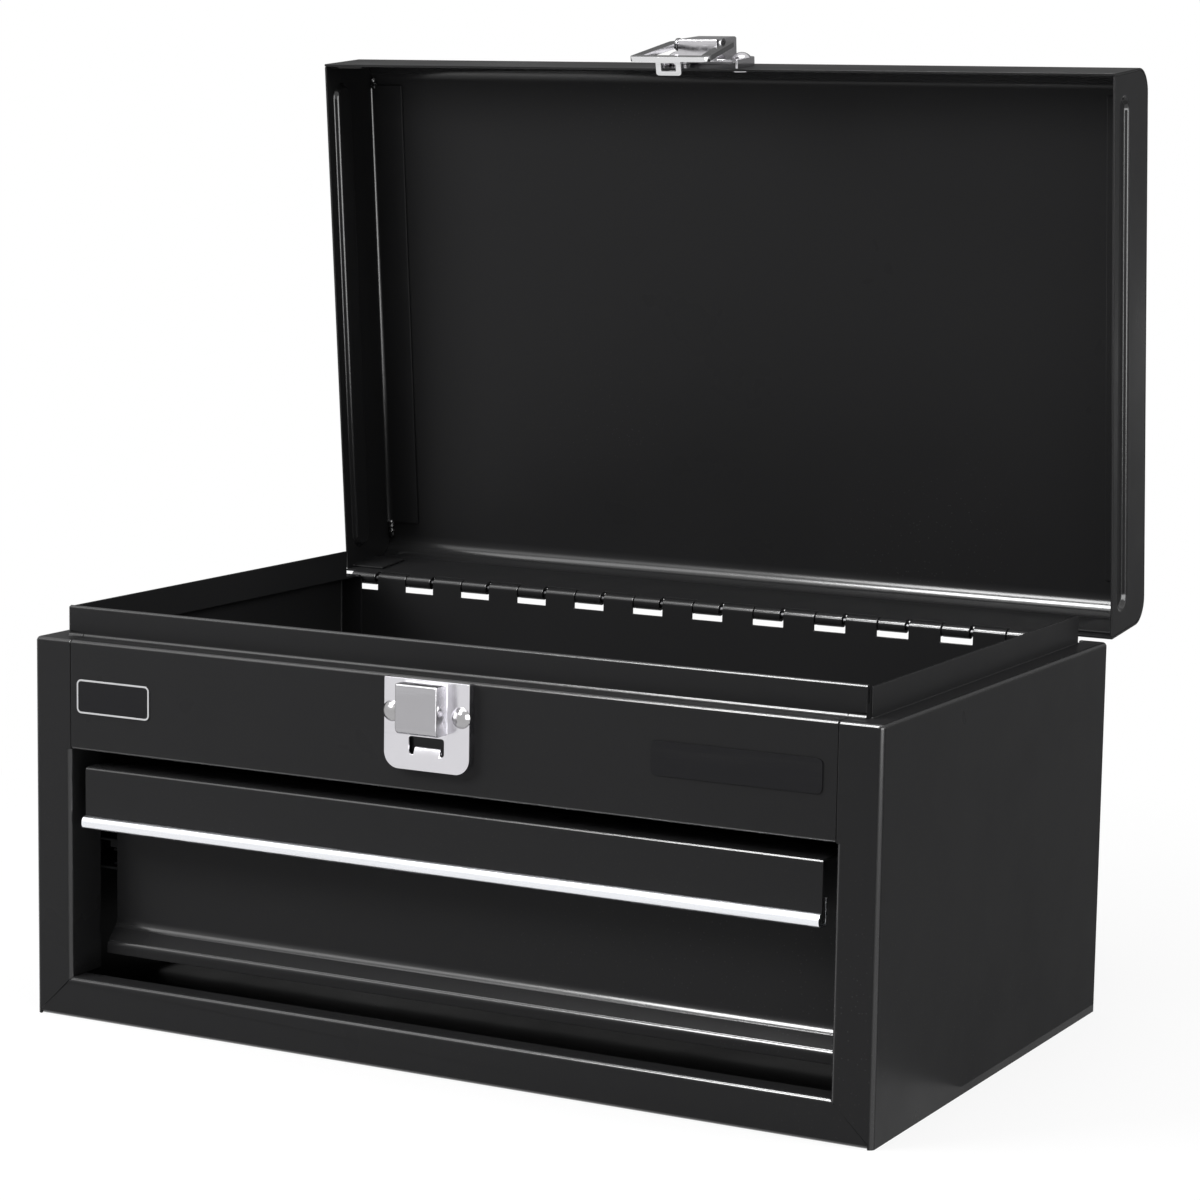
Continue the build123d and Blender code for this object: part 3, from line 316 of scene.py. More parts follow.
    def _hairlines(self) -> bpy.types.NodeTree:
        """Fine handling scratches, as a mask.

        Returns:
            The node group.
        """
        inputs = {"Scale": self.scratch_scale, "Amount": self.scratch_amount}
        graph, entry, leave = self._group("hairline_scratches", inputs, ("Mask",))
        place = graph.add("ShaderNodeTexCoord")
        turn = graph.add("ShaderNodeMapping", Rotation=self.scratch_turn, Scale=self.scratch_stretch)
        lines = graph.add("ShaderNodeTexNoise", Detail=6.0, Roughness=0.7)
        graph.link(place.outputs["Object"], turn.inputs["Vector"])
        graph.link(turn.outputs["Vector"], lines.inputs["Vector"])
        graph.link(entry.outputs["Scale"], lines.inputs["Scale"])
        found = graph.ramp(lines.outputs["Fac"], self.scratch_span)
        graph.link(graph.work_out("MULTIPLY", found, entry.outputs["Amount"]), leave.inputs["Mask"])
        return graph.tree


@dataclass(frozen=True)
class PaintFinish:
    """Black stoving paint: soft sheen on the flats and a hard gloss on the bends."""

    colour: Triple = (0.0155, 0.0155, 0.016)
    dust_colour: Triple = (0.1, 0.1, 0.1)
    mottle_span: Span = (0.3, 0.7)
    rough: Span = (0.26, 0.4)
    rough_bend: float = 0.12
    specular: float = 0.04
    gloss_rough: float = 0.16
    peel_strength: float = 0.05
    peel_height: float = 0.00012

    def build(self, effects: SurfaceEffects) -> bpy.types.Material:
        """Makes the material.

        Args:
            effects: the shared node groups.

        Returns:
            The paint material.
        """
        material, graph, shader = start_material(Finish.PAINT.value)
        shader.inputs["Specular IOR Level"].default_value = self.specular
        shader.inputs["Coat Roughness"].default_value = self.gloss_rough
        peel = graph.add("ShaderNodeGroup", node_tree=effects.peel)
        dust = graph.add("ShaderNodeGroup", node_tree=effects.dust)
        bends = graph.add("ShaderNodeGroup", node_tree=effects.bends)
        blend = graph.add("ShaderNodeMix", data_type="RGBA")
        blend.inputs["A"].default_value = (*self.colour, 1.0)
        blend.inputs["B"].default_value = (*self.dust_colour, 1.0)
        flat = graph.ramp(peel.outputs["Mottle"], self.mottle_span, self.rough)
        rough = graph.add("ShaderNodeMix", data_type="FLOAT", B=self.rough_bend)
        bump = graph.add("ShaderNodeBump", Strength=self.peel_strength, Distance=self.peel_height)
        graph.link(dust.outputs["Mask"], blend.inputs["Factor"])
        graph.link(blend.outputs["Result"], shader.inputs["Base Color"])
        graph.link(bends.outputs["Mask"], rough.inputs["Factor"])
        graph.link(flat, rough.inputs["A"])
        graph.link(rough.outputs["Result"], shader.inputs["Roughness"])
        graph.link(bends.outputs["Mask"], shader.inputs["Coat Weight"])
        graph.link(peel.outputs["Height"], bump.inputs["Height"])
        graph.link(bump.outputs["Normal"], shader.inputs["Normal"])
        return material


@dataclass(frozen=True)
class MetalFinish:
    """A bright metal with streaks, hairlines and slight waviness.

    A metal given a second colour turns to it along the y axis, from the first place of its span to the
    second. That second colour is painted shade, standing in for the darker reflections those parts show.
    """

    finish: Finish
    colour: Triple
    worn: Triple
    rough: Span
    streak_scale: float
    bump_strength: float
    bump_height: float = 0.0001
    stretch: Triple = (1.0, 1.0, 1.0)
    streak_span: Span = (0.3, 0.7)
    metallic: float = 1.0
    specular: float = 0.5
    painted_shade: Triple | None = None
    painted_shade_span: Span = (0.0, 1.0)

    def build(self, effects: SurfaceEffects) -> bpy.types.Material:
        """Makes the material.

        Args:
            effects: the shared node groups.

        Returns:
            The metal material.
        """
        material, graph, shader = start_material(self.finish.value)
        shader.inputs["Metallic"].default_value = self.metallic
        shader.inputs["Specular IOR Level"].default_value = self.specular
        lines = graph.add("ShaderNodeGroup", node_tree=effects.hairlines)
        blend = graph.add("ShaderNodeMix", data_type="RGBA")
        blend.inputs["A"].default_value = (*self.colour, 1.0)
        blend.inputs["B"].default_value = (*self.worn, 1.0)
        place = graph.add("ShaderNodeTexCoord")
        turn = graph.add("ShaderNodeMapping", Scale=self.stretch)
        streaks = graph.add("ShaderNodeTexNoise", Scale=self.streak_scale, Detail=3.0)
        bump = graph.add("ShaderNodeBump", Strength=self.bump_strength, Distance=self.bump_height)
        graph.link(place.outputs["Object"], turn.inputs["Vector"])
        graph.link(turn.outputs["Vector"], streaks.inputs["Vector"])
        # Painted shade: the base colour darkens along y, as if those parts reflected the dark box.
        if self.painted_shade is not None:
            split = graph.add("ShaderNodeSeparateXYZ")
            tone = graph.add("ShaderNodeMix", data_type="RGBA")
            tone.inputs["A"].default_value = (*self.colour, 1.0)
            tone.inputs["B"].default_value = (*self.painted_shade, 1.0)
            graph.link(place.outputs["Object"], split.inputs["Vector"])
            graph.link(graph.ramp(split.outputs["Y"], self.painted_shade_span), tone.inputs["Factor"])
            graph.link(tone.outputs["Result"], blend.inputs["A"])
        graph.link(lines.outputs["Mask"], blend.inputs["Factor"])
        graph.link(blend.outputs["Result"], shader.inputs["Base Color"])
        rough = graph.ramp(streaks.outputs["Fac"], self.streak_span, self.rough)
        graph.link(rough, shader.inputs["Roughness"])
        graph.link(streaks.outputs["Fac"], bump.inputs["Height"])
        graph.link(bump.outputs["Normal"], shader.inputs["Normal"])
        return material


METALS = (
    # Painted shade darkens the keeper's front-most parts.
    MetalFinish(
        Finish.KEEPER, colour=(0.66, 0.65, 0.68), worn=(0.5, 0.5, 0.52), rough=(0.12, 0.26),
        streak_scale=140.0, bump_strength=0.1, painted_shade=(0.4, 0.395, 0.41), painted_shade_span=(-0.115, -0.119),
    ),
    # Painted shade darkens the hasp's arms.
    MetalFinish(
        Finish.HASP, colour=(0.7, 0.7, 0.71), worn=(0.3, 0.3, 0.31), rough=(0.1, 0.2),
        streak_scale=160.0, bump_strength=0.06, painted_shade=(0.2, 0.2, 0.205), painted_shade_span=(0.068, 0.0715),
    ),
    MetalFinish(
        Finish.CHROME, colour=(0.55, 0.54, 0.56), worn=(0.4, 0.4, 0.41), rough=(0.08, 0.18),
        streak_scale=160.0, bump_strength=0.06,
    ),
    # A darker copy of chrome: painted shade standing in for the dark reflections on the rivet domes.
    MetalFinish(
        Finish.SHADED_RIVET, colour=(0.38, 0.375, 0.38), worn=(0.4, 0.4, 0.41), rough=(0.12, 0.22),
        streak_scale=160.0, bump_strength=0.06,
    ),
    MetalFinish(
        Finish.TRIM, colour=(0.82, 0.83, 0.86), worn=(0.7, 0.7, 0.72), rough=(0.2, 0.3),
        streak_scale=900.0, bump_strength=0.05, stretch=(0.05, 1.0, 1.0),
    ),
    MetalFinish(
        Finish.STEEL, colour=(0.4, 0.4, 0.41), worn=(0.3, 0.3, 0.31), rough=(0.3, 0.45),
        streak_scale=300.0, bump_strength=0.1,
    ),
    MetalFinish(
        Finish.BLACKED, colour=(0.05, 0.05, 0.052), worn=(0.09, 0.09, 0.09), rough=(0.2, 0.35),
        streak_scale=300.0, bump_strength=0.1,
    ),
    MetalFinish(
        Finish.PLATE, colour=(0.011, 0.011, 0.012), worn=(0.02, 0.02, 0.02), rough=(0.3, 0.4),
        streak_scale=300.0, bump_strength=0.02, metallic=0.0, specular=0.06,
    ),
    MetalFinish(
        Finish.BORDER, colour=(0.6, 0.6, 0.61), worn=(0.5, 0.5, 0.5), rough=(0.25, 0.35),
        streak_scale=300.0, bump_strength=0.02,
    ),
)


class FinishShelf:
    """Holds one material for each finish."""

    def __init__(self, effects: SurfaceEffects) -> None:
        """Builds every material.

        Args:
            effects: the shared node groups.
        """
        self.materials = {Finish.PAINT: PaintFinish().build(effects)}
        for metal in METALS:
            self.materials[metal.finish] = metal.build(effects)

    def give(self, node: str, finish: Finish) -> None:
        """Puts a finish on a CAD node.

        Args:
            node: the node's name.
            finish: the finish to show.
        """
        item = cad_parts[node]
        item.data.materials.clear()
        item.data.materials.append(self.materials[finish])
        LOG.info("%s: %s", node, finish.value)


@dataclass
class EdgeShading:
    """Geometry nodes that choose the edges to round, mark bends and smooth them.

    An edge that turns more than crease stays sharp, and one that turns more than corner is rounded. A flat
    of less than small_face square metres counts as a bend. Edges under the height foot are left as they
    are, and under rim_foot on nodes that are rounded at the rim alone.
    """

    crease: float = math.radians(32.0)
    corner: float = math.radians(38.0)
    small_face: float = 0.00018
    foot: float = 0.012
    rim_foot: float = 0.12

    def __post_init__(self) -> None:
        """Builds the node trees."""
        self.pick = self._pick(self.foot)
        self.pick_rim = self._pick(self.rim_foot)
        self.smooth = self._smooth()

    @staticmethod
    def _tree(name: str) -> tuple[NodeGraph, bpy.types.NodeSocket, bpy.types.NodeSocket]:
        """Starts a geometry node tree.

        Args:
            name: the tree's name.

        Returns:
            The graph, the geometry that enters and the socket where it leaves.
        """
        tree = bpy.data.node_groups.new(name, "GeometryNodeTree")
        for way in ("INPUT", "OUTPUT"):
            tree.interface.new_socket("Geometry", in_out=way, socket_type="NodeSocketGeometry")
        graph = NodeGraph(tree)
        entry = graph.add("NodeGroupInput")
        leave = graph.add("NodeGroupOutput")
        return graph, entry.outputs["Geometry"], leave.inputs["Geometry"]

    @staticmethod
    def _compare(
        graph: NodeGraph,
        value: bpy.types.NodeSocket,
        operation: str,
        limit: float,
    ) -> bpy.types.NodeSocket:
        """Compares a value with a number.

        Args:
            graph: where the node goes.
            value: the value.
            operation: the comparison.
            limit: the number.

        Returns:
            The outcome.
        """
        node = graph.add("FunctionNodeCompare", data_type="FLOAT", operation=operation)
        node.inputs["B"].default_value = limit
        graph.link(value, node.inputs["A"])
        return node.outputs["Result"]

    @staticmethod
    def _both(
        graph: NodeGraph,
        operation: str,
        first: bpy.types.NodeSocket,
        second: bpy.types.NodeSocket,
    ) -> bpy.types.NodeSocket:
        """Joins two outcomes.

        Args:
            graph: where the node goes.
            operation: how they are joined.
            first: one outcome.
            second: the other.

        Returns:
            The joined outcome.
        """
        node = graph.add("FunctionNodeBooleanMath", operation=operation)
        graph.link(first, node.inputs[0])
        graph.link(second, node.inputs[1])
        return node.outputs["Boolean"]

    def _pick(self, foot: float) -> bpy.types.NodeTree:
        """Gives each corner edge above the foot a bevel weight.

        Args:
            foot: the height under which edges are left.

        Returns:
            The node tree.
        """
        graph, entry, leave = self._tree("edge_pick")
        angle = graph.add("GeometryNodeInputMeshEdgeAngle")
        place = graph.add("GeometryNodeInputPosition")
        split = graph.add("ShaderNodeSeparateXYZ")
        mark = graph.add("GeometryNodeStoreNamedAttribute", data_type="FLOAT", domain="EDGE")
        mark.inputs["Name"].default_value = "bevel_weight_edge"
        graph.link(place.outputs["Position"], split.inputs["Vector"])
        turned = self._compare(graph, angle.outputs["Unsigned Angle"], "GREATER_THAN", self.corner)
        high = self._compare(graph, split.outputs["Z"], "GREATER_THAN", foot)
        graph.link(self._both(graph, "AND", turned, high), mark.inputs["Value"])
        graph.link(entry, mark.inputs["Geometry"])
        graph.link(mark.outputs["Geometry"], leave)
        return graph.tree

    def _smooth(self) -> bpy.types.NodeTree:
        """Marks the bends and sets which edges look sharp.

        Returns:
            The node tree.
        """
        graph, entry, leave = self._tree("bend_shading")
        curved = graph.add("GeometryNodeInputShadeSmooth")
        area = graph.add("GeometryNodeInputMeshFaceArea")
        angle = graph.add("GeometryNodeInputMeshEdgeAngle")
        mark = graph.add("GeometryNodeStoreNamedAttribute", data_type="FLOAT", domain="FACE")
        mark.inputs["Name"].default_value = BEND_MARK
        shade = graph.add("GeometryNodeSetMeshNormal", mode="SHARPNESS")
        small = self._compare(graph, area.outputs["Area"], "LESS_THAN", self.small_face)
        graph.link(self._both(graph, "OR", curved.outputs["Smooth"], small), mark.inputs["Value"])
        sharp = self._compare(graph, angle.outputs["Unsigned Angle"], "GREATER_THAN", self.crease)
        graph.link(entry, mark.inputs["Geometry"])
        graph.link(mark.outputs["Geometry"], shade.inputs["Mesh"])
        graph.link(sharp, shade.inputs["Edge Sharpness"])
        graph.link(shade.outputs["Mesh"], leave)
        return graph.tree


@dataclass
class SubAssembly:
    """A group of CAD nodes that move together, with a finish for each.

    Nodes in rim_only are rounded at the rim alone, and nodes in rounded have the widest rounding. Nodes in
    pierced keep their triangles, because a flat ring joined into one face would close its opening.
    """

    shelf: FinishShelf
    shading: EdgeShading
    edge: float = 0.0003
    round_edge: float = 0.00045
    small_edge: float = 0.00013
    edge_segments: int = 2
    corner_gap: float = 0.000002
    flat_turn: float = math.radians(0.3)
    area_weight: int = 100
    rim_only: tuple[str, ...] = ("left_side_panel", "right_side_panel")
    pierced: tuple[str, ...] = ("latch_hasp", "latch_keeper")
    rounded: tuple[str, ...] = (
        "front_panel", "left_side_panel", "right_side_panel", "lid_left_end", "lid_right_end", "latch_keeper",
    )

    def finishes(self) -> dict[str, Finish]:
        """Names the finish of each node."""
        return {}

    def shade_bends(self, item: bpy.types.Object) -> None:
        """Adds the modifier that marks a piece's bends and smooths them."""
        shade = item.modifiers.new("bend_shading", "NODES")
        shade.node_group = self.shading.smooth

    def soften(self, node: str, width: float) -> None:
        """Rounds a node's sharp edges a little and evens its shading.

        Args:
            node: the node's name.
            width: how far the rounding reaches.
        """
        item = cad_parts[node]
        weld = item.modifiers.new("join_corners", "WELD")
        weld.merge_threshold = self.corner_gap
        if node not in self.pierced:
            flat = item.modifiers.new("join_flats", "DECIMATE")
            flat.decimate_type = "DISSOLVE"
            flat.angle_limit = self.flat_turn
        pick = item.modifiers.new("edge_pick", "NODES")
        pick.node_group = self.shading.pick_rim if node in self.rim_only else self.shading.pick
        soft = item.modifiers.new("soft_edges", "BEVEL")
        soft.width = width
        soft.segments = self.edge_segments
        soft.profile = 0.5
        soft.limit_method = "WEIGHT"
        soft.use_clamp_overlap = False
        soft.loop_slide = False
        self.shade_bends(item)
        even = item.modifiers.new("even_normals", "WEIGHTED_NORMAL")
        even.mode = "FACE_AREA"
        even.weight = self.area_weight
        even.keep_sharp = True

    @staticmethod
    def round_part(
        shape: bmesh.types.BMesh,
        start: Triple,
        centre: Triple,
        axis: Triple,
        angle: float,
        steps: int,
    ) -> list[bmesh.types.BMVert]:
        """Spins a point into an arc.

        Args:
            shape: the empty shape that gets the arc.
            start: the arc's first point.
            centre: a point on its axis.
            axis: the axis.
            angle: how far it turns.
            steps: its number of parts.

        Returns:
            The arc's vertices in order.
        """
        first = shape.verts.new(start)
        bmesh.ops.spin(
            shape, geom=[first], cent=centre, axis=axis, dvec=(0.0, 0.0, 0.0), angle=angle,
            steps=steps, use_merge=False, use_duplicate=False,
        )
        return list(shape.verts)

    @staticmethod
    def draw_out(shape: bmesh.types.BMesh, outline: list[bmesh.types.BMVert], reach: Triple) -> None:
        """Closes an outline with a face and draws it out along a line.

        Args:
            shape: the shape that holds the outline.
            outline: the outline's vertices in order.
            reach: how far and which way.
        """
        end = shape.faces.new(outline)
        run = bmesh.ops.extrude_face_region(shape, geom=[end], use_keep_orig=True)
        far = [part for part in run["geom"] if isinstance(part, bmesh.types.BMVert)]
        bmesh.ops.translate(shape, vec=reach, verts=far)
        for face in shape.faces:
            face.smooth = len(face.verts) == 4

    def add_piece(self, name: str, shape: bmesh.types.BMesh, body: str) -> None:
        """Turns a finished shape into a painted piece that rides on a body.

        Args:
            name: the piece's name.
            shape: the shape, freed here.
            body: the body's name.
        """
        bmesh.ops.recalc_face_normals(shape, faces=shape.faces)
        mesh = bpy.data.meshes.new(name)
        shape.to_mesh(mesh)
        shape.free()
        mesh.materials.append(self.shelf.materials[Finish.PAINT])
        item = bpy.data.objects.new(name, mesh)
        bpy.context.scene.collection.objects.link(item)
        self.shade_bends(item)
        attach(item, body)
        LOG.info("%s: %s", name, Finish.PAINT.value)

    def edge_of(self, node: str, finish: Finish) -> float:
        """Chooses how far the rounding of a node's edges reaches.

        Args:
            node: the node's name.
            finish: the node's finish.

        Returns:
            The width in metres.
        """
        if node in self.rounded:
            return self.round_edge
        if finish is Finish.PAINT:
            return self.edge
        return self.small_edge

    def dress(self) -> None:
        """Gives each node its finish and its soft edges."""
        for node, finish in self.finishes().items():
            self.shelf.give(node, finish)
            self.soften(node, self.edge_of(node, finish))


@dataclass
class CaseBody(SubAssembly):
    """Panels, runners, hinge pin, keeper and label plates of the case, with the hem of its front rim."""

    rim_face: float = -0.1005
    rim_top: float = 0.1575
    rim_half: float = 0.1649
    rim_sheet: float = 0.001
    hem_radius: float = 0.0011
    hem_leg: float = 0.0055
    hem_proud: float = 0.00002
    hem_drop: float = 0.0005
    hem_lap: float = 0.0004
    hem_steps: int = 12
    shoulder: float = 0.1465
    shoulder_bend: float = 0.0016
    shoulder_half: float = 0.1584
    shoulder_sink: float = 0.0002
    bend_steps: int = 8

    def rim_hem(self) -> None:
        """Builds the rounded fold along the top of the front rim."""
        shape = bmesh.new()
        face = self.rim_face - self.hem_proud
        level = self.rim_top - self.hem_drop
        arc = self.round_part(
            shape, (-self.rim_half, face, level), (-self.rim_half, face + self.hem_radius, level),
            X_AXIS, -math.pi, self.hem_steps,
        )
        back = face + 2 * self.hem_radius
        inside = back - self.rim_sheet
        places = (
            (back, level - self.hem_leg),
            (inside, level - self.hem_leg),
            (inside, level - self.hem_lap),
            (face, level - self.hem_lap),
        )
        rest = [shape.verts.new((-self.rim_half, *place)) for place in places]
        self.draw_out(shape, arc + rest, (2 * self.rim_half, 0.0, 0.0))
        self.add_piece("front_rim_hem", shape, "case")

    def rim_foot(self, side: str, way: float) -> None:
        """Builds the end of the hollow bend between the shoulder and the front rim.

        Args:
            side: left or right.
            way: minus one for the left end, one for the right.
        """
        shape = bmesh.new()
        near = way * self.shoulder_half
        front = self.rim_face - self.shoulder_bend
        top = self.shoulder + self.shoulder_bend
        arc = self.round_part(
            shape, (near, front, self.shoulder), (near, front, top),
            X_AXIS, math.pi / 2, self.bend_steps,
        )
        behind = self.rim_face + self.rim_sheet
        under = self.shoulder - self.shoulder_sink
        places = ((behind, top), (behind, under), (front, under))
        rest = [shape.verts.new((near, *place)) for place in places]
        self.draw_out(shape, arc + rest, (way * (self.rim_half - self.shoulder_half), 0.0, 0.0))
        self.add_piece(f"front_rim_foot_{side}", shape, "case")

    def dress(self) -> None:
        """Dresses the case's nodes and adds the hem and the feet of the front rim."""
        super().dress()
        self.rim_hem()
        for side, way in SIDES:
            self.rim_foot(side, way)

    def finishes(self) -> dict[str, Finish]:
        """Names the finish of each node."""
        painted = (
            "bottom_panel", "left_side_panel", "right_side_panel", "rear_panel", "front_panel",
            "tray_floor", "left_runner", "right_runner", "left_lid_stop", "right_lid_stop",
        )
        chosen = {node: Finish.PAINT for node in painted}
        chosen["hinge_pin"] = Finish.BLACKED
        chosen["latch_keeper"] = Finish.KEEPER
        chosen["keeper_rivets"] = Finish.SHADED_RIVET
        chosen["nameplate_left"] = Finish.PLATE
        chosen["nameplate_right"] = Finish.PLATE
        chosen["nameplate_left_border"] = Finish.BORDER
        return chosen


@dataclass
class LidBody(SubAssembly):
    """Shell, end panels and latch base of the lid, with the paint and welds in its corners.

    The sizes are in the lid's own frame, with its x axis along the hinge pin. A weld's lump is an egg of
    weld_sizes, seated into the end panel by a share of its width and rippled by a wave.
    """

    hinge_y: float = 0.11065
    hinge_z: float = 0.1449
    opened: float = math.radians(84.8)
    wall_x: float = 0.174
    tab_face: float = 0.03698
    tab_front: float = -0.20813
    tab_rear: float = -0.01667
    cove_radius: float = 0.0024
    cove_steps: int = 10
    cove_thin: float = 0.4
    weld_sizes: Triple = (0.0016, 0.0026, 0.0017)
    weld_seat: float = 0.8
    weld_detail: int = 3
    weld_ripple: float = 0.16
    weld_waves: Span = (2.0, 7.0)
    front_weld: float = -0.0006
    rear_welds: Span = (0.0014, 0.004)
    weld_turns: Triple = (0.4, 0.0, 1.1)

    def frame_of_lid(self) -> Matrix:
        """Gives the turn from the lid's own frame to the open lid."""
        return Matrix.Translation((0.0, self.hinge_y, self.hinge_z)) @ Matrix.Rotation(-self.opened, 4, "X")

    def corner_cove(self, side: str, way: float) -> None:
        """Builds the hollow run of paint in the corner between an end panel and its tab.

        Args:
            side: left or right.
            way: minus one for the left end, one for the right.
        """
        shape = bmesh.new()
        wall = way * self.wall_x
        low = self.tab_face - self.cove_radius
        arc = self.round_part(
            shape, (wall, self.tab_front, low), (wall - way * self.cove_radius, self.tab_front, low),
            Y_AXIS, -way * math.pi / 2, self.cove_steps,
        )
        corner = shape.verts.new((wall, self.tab_front, self.tab_face))
        self.draw_out(shape, arc + [corner], (0.0, self.tab_rear - self.tab_front, 0.0))
        thin = (self.cove_thin, 1.0, self.cove_thin)
        bmesh.ops.scale(shape, vec=thin, space=Matrix.Translation(-corner.co), verts=arc)
        bmesh.ops.transform(shape, matrix=self.frame_of_lid(), verts=shape.verts)
        self.add_piece(f"lid_{side}_cove", shape, "lid")

    def corner_welds(self, side: str, way: float) -> None:
        """Builds the lumps of weld at both ends of an end panel's tab.

        Args:
            side: left or right.
            way: minus one for the left end, one for the right.
        """
        shape = bmesh.new()
        across = way * (self.wall_x - self.weld_seat * self.weld_sizes[0])
        reaches = (self.tab_front + self.front_weld, *(self.tab_rear + gap for gap in self.rear_welds))
        for reach, turn in zip(reaches, self.weld_turns):
            lump = bmesh.ops.create_icosphere(shape, subdivisions=self.weld_detail, radius=1.0)["verts"]
            for vert in lump:
                wave = self.weld_waves[1] * vert.co.y + self.weld_waves[0] * vert.co.x + turn
                vert.co *= 1.0 + self.weld_ripple * math.sin(wave)
            bmesh.ops.scale(shape, vec=self.weld_sizes, verts=lump)
            bmesh.ops.translate(shape, vec=(across, reach, self.tab_face), verts=lump)
        for face in shape.faces:
            face.smooth = True
        bmesh.ops.transform(shape, matrix=self.frame_of_lid(), verts=shape.verts)
        self.add_piece(f"lid_{side}_welds", shape, "lid")

    def dress(self) -> None:
        """Dresses the lid's nodes and adds the corner runs and welds."""
        super().dress()
        for side, way in SIDES:
            self.corner_cove(side, way)
            self.corner_welds(side, way)

    def finishes(self) -> dict[str, Finish]:
        """Names the finish of each node."""
        chosen = {node: Finish.PAINT for node in ("lid_shell", "lid_left_end", "lid_right_end")}
        for node in ("latch_base", "latch_rivets", "latch_pin"):
            chosen[node] = Finish.CHROME
        return chosen


@dataclass
class HaspBody(SubAssembly):
    """The hasp, which turns on the lid's latch base."""

    def finishes(self) -> dict[str, Finish]:
        """Names the finish of each node."""
        return {"latch_hasp": Finish.HASP}


@dataclass
class DrawerBody(SubAssembly):
    """Front, trim, pan, rails and rivets of the drawer."""

    def finishes(self) -> dict[str, Finish]:
        """Names the finish of each node."""
        painted = ("drawer_front", "drawer_pan", "left_drawer_rail", "right_drawer_rail")
        chosen = {node: Finish.PAINT for node in painted}
        chosen["drawer_trim"] = Finish.TRIM
        chosen["rail_rivets"] = Finish.STEEL
        return chosen


@dataclass(frozen=True)
class Lamp:
    """One soft box of the studio, aimed at the middle of the tool box."""

    name: str
    place: Triple
    size: Span
    power: float
    use: LampUse
    aim: Triple = (0.0, 0.0, 0.18)

    def build(self) -> None:
        """Adds the lamp to the scene."""
        data = bpy.data.lights.new(self.name, "AREA")
        data.shape = "RECTANGLE"
        data.size = self.size[0]
        data.size_y = self.size[1]
        data.energy = self.power
        item = bpy.data.objects.new(self.name, data)
        place = Vector(self.place)
        item.location = place
        item.rotation_euler = (Vector(self.aim) - place).to_track_quat("-Z", "Y").to_euler()
        item.visible_camera = False
        item.visible_diffuse = self.use is not LampUse.GLEAM
        item.visible_glossy = self.use is not LampUse.FILL
        bpy.context.scene.collection.objects.link(item)


LAMPS = (
    Lamp("front_box", (-0.75, -0.75, 0.75), (0.7, 0.5), 15.0, LampUse.FILL),
    Lamp("top_box", (0.1, -0.3, 1.7), (1.2, 0.8), 10.0, LampUse.BOTH),
    Lamp("right_fill", (1.6, 0.15, 0.9), (0.6, 0.6), 15.0, LampUse.FILL),
    Lamp("low_gleam", (-0.33, -1.0, 0.9), (0.38, 0.3), 13.7, LampUse.GLEAM),
    Lamp("low_glow", (-0.8, -1.0, 0.9), (0.56, 0.3), 1.2, LampUse.GLEAM),
    Lamp("high_gleam", (-0.33, -0.62, 1.3), (0.38, 0.3), 13.7, LampUse.GLEAM),
    Lamp("high_glow", (-0.8, -0.62, 1.3), (0.56, 0.3), 1.5, LampUse.GLEAM),
    Lamp("right_gleam", (0.86, -0.52, 0.31), (0.8, 0.64), 10.0, LampUse.GLEAM),
)


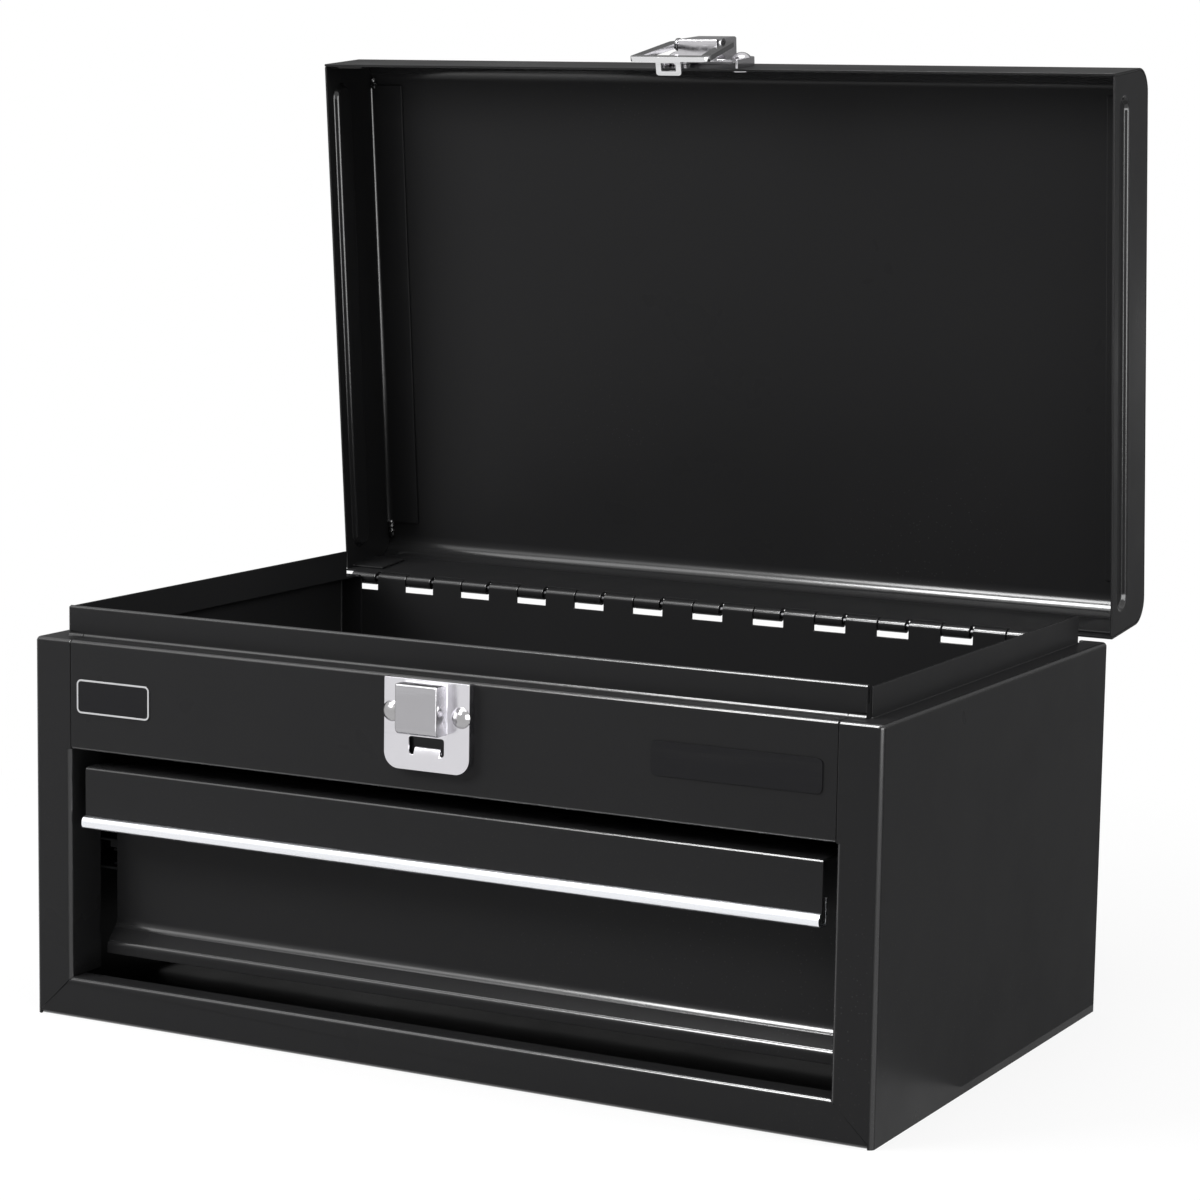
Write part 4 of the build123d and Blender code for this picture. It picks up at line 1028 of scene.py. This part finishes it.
@dataclass
class Studio:
    """Floor, world, lamps and the camera at the photograph's angle.

    The grey card shows in reflections alone: a leaning wall behind the box and a strip of the floor, just
    above it, from card_near to card_far.
    """

    camera_place: Triple = (0.63104, -1.17292, 0.35262)
    azimuth: float = math.radians(27.921)
    elevation: float = math.radians(8.16)
    roll: float = math.radians(0.913)
    lens: float = 105.543
    sensor: float = 36.0
    clip: Span = (0.05, 50.0)
    ambient: float = 0.42
    floor_size: float = 14.0
    floor_tone: float = 0.86
    shadow_span: Span = (0.15, 0.55)
    shadow_glow: Span = (0.82, 1.0)
    card_grey: float = 0.25
    card_size: Span = (6.0, 2.2)
    card_lean: float = math.radians(80.0)
    card_place: Triple = (-0.9, 2.2, 1.25)
    card_half: float = 3.0
    card_near: float = -0.03
    card_far: float = 2.2
    card_lift: float = 0.003

    def camera(self) -> None:
        """Makes the camera that matches the photograph."""
        data = bpy.data.cameras.new("photo_camera")
        data.lens = self.lens
        data.sensor_width = self.sensor
        data.sensor_fit = "HORIZONTAL"
        data.clip_start = self.clip[0]
        data.clip_end = self.clip[1]
        item = bpy.data.objects.new("photo_camera", data)
        bpy.context.scene.collection.objects.link(item)
        ahead = Vector((
            -math.sin(self.azimuth) * math.cos(self.elevation),
            math.cos(self.azimuth) * math.cos(self.elevation),
            -math.sin(self.elevation),
        ))
        level = ahead.cross(Vector((0.0, 0.0, 1.0))).normalized()
        upright = level.cross(ahead)
        right = level * math.cos(self.roll) + upright * math.sin(self.roll)
        up = right.cross(ahead)
        turn = Matrix((right, up, -ahead)).transposed().to_4x4()
        item.matrix_world = Matrix.Translation(self.camera_place) @ turn
        bpy.context.scene.camera = item

    @staticmethod
    def _seen(graph: NodeGraph) -> bpy.types.NodeSocket:
        """Adds nodes that are 1 on camera, glossy and transmission rays.

        Args:
            graph: where the nodes go.

        Returns:
            The socket with that value.
        """
        path = graph.add("ShaderNodeLightPath")
        shown = graph.work_out("MAXIMUM", path.outputs["Is Camera Ray"], path.outputs["Is Glossy Ray"])
        return graph.work_out("MAXIMUM", shown, path.outputs["Is Transmission Ray"])

    def world(self) -> None:
        """Makes a world that is white to the camera and in reflections, and plain grey as light."""
        world = bpy.data.worlds.new("studio_world")
        bpy.context.scene.world = world
        world.use_nodes = True
        world.node_tree.nodes.clear()
        graph = NodeGraph(world.node_tree)
        out = graph.add("ShaderNodeOutputWorld")
        light = graph.add("ShaderNodeBackground", Color=WHITE, Strength=self.ambient)
        white = graph.add("ShaderNodeBackground", Color=WHITE, Strength=1.0)
        mixed = graph.mix_shaders(
            self._seen(graph), light.outputs["Background"], white.outputs["Background"],
        )
        graph.link(mixed, out.inputs["Surface"])

    def floor(self) -> None:
        """Makes the pale floor, white to the camera and with a faint shadow near the box."""
        bpy.ops.mesh.primitive_plane_add(size=self.floor_size, location=(0.0, 0.0, 0.0))
        item = bpy.context.object
        item.name = "floor"
        material, graph, surface = start_stage_material("pale_floor")
        tone = (self.floor_tone, self.floor_tone, self.floor_tone, 1.0)
        matt = graph.add("ShaderNodeBsdfDiffuse", Color=tone)
        glow = graph.add("ShaderNodeEmission", Color=WHITE, Strength=1.0)
        place = graph.add("ShaderNodeTexCoord")
        reach = graph.add("ShaderNodeVectorMath", operation="LENGTH")
        graph.link(place.outputs["Object"], reach.inputs[0])
        share = graph.ramp(reach.outputs["Value"], self.shadow_span, self.shadow_glow)
        shown = graph.work_out("MULTIPLY", self._seen(graph), share)
        graph.link(graph.mix_shaders(shown, matt.outputs["BSDF"], glow.outputs["Emission"]), surface)
        item.data.materials.append(material)

    def back_card(self) -> None:
        """Stands the grey card behind the box."""
        bpy.ops.mesh.primitive_plane_add(size=1.0)
        item = bpy.context.object
        item.name = "grey_card"
        item.data.transform(Matrix.Diagonal((*self.card_size, 1.0, 1.0)))
        item.data.transform(Matrix.Rotation(self.card_lean, 4, "X"))
        item.data.transform(Matrix.Translation(self.card_place))
        strip = (
            (-self.card_half, self.card_near, self.card_lift),
            (self.card_half, self.card_near, self.card_lift),
            (self.card_half, self.card_far, self.card_lift),
            (-self.card_half, self.card_far, self.card_lift),
        )
        low = bmesh.new()
        low.from_mesh(item.data)
        low.faces.new([low.verts.new(place) for place in strip])
        low.to_mesh(item.data)
        low.free()
        material, graph, surface = start_stage_material("grey_card")
        glow = graph.add("ShaderNodeEmission", Color=WHITE, Strength=self.card_grey)
        graph.link(glow.outputs["Emission"], surface)
        item.data.materials.append(material)
        item.visible_camera = False
        item.visible_diffuse = False
        item.visible_shadow = False
        item.visible_transmission = False

    def build(self) -> None:
        """Sets the whole stage."""
        self.camera()
        self.world()
        self.floor()
        self.back_card()
        for lamp in LAMPS:
            lamp.build()
        bpy.context.scene.view_settings.view_transform = "Standard"


def main() -> None:
    """Builds the finishes, dresses the sub-assemblies and sets the stage."""
    logging.basicConfig(level=logging.INFO, format="%(message)s")
    shelf = FinishShelf(SurfaceEffects())
    shading = EdgeShading()
    for kind in (CaseBody, LidBody, HaspBody, DrawerBody):
        kind(shelf, shading).dress()
    Studio().build()


if __name__ == "__main__":
    main()
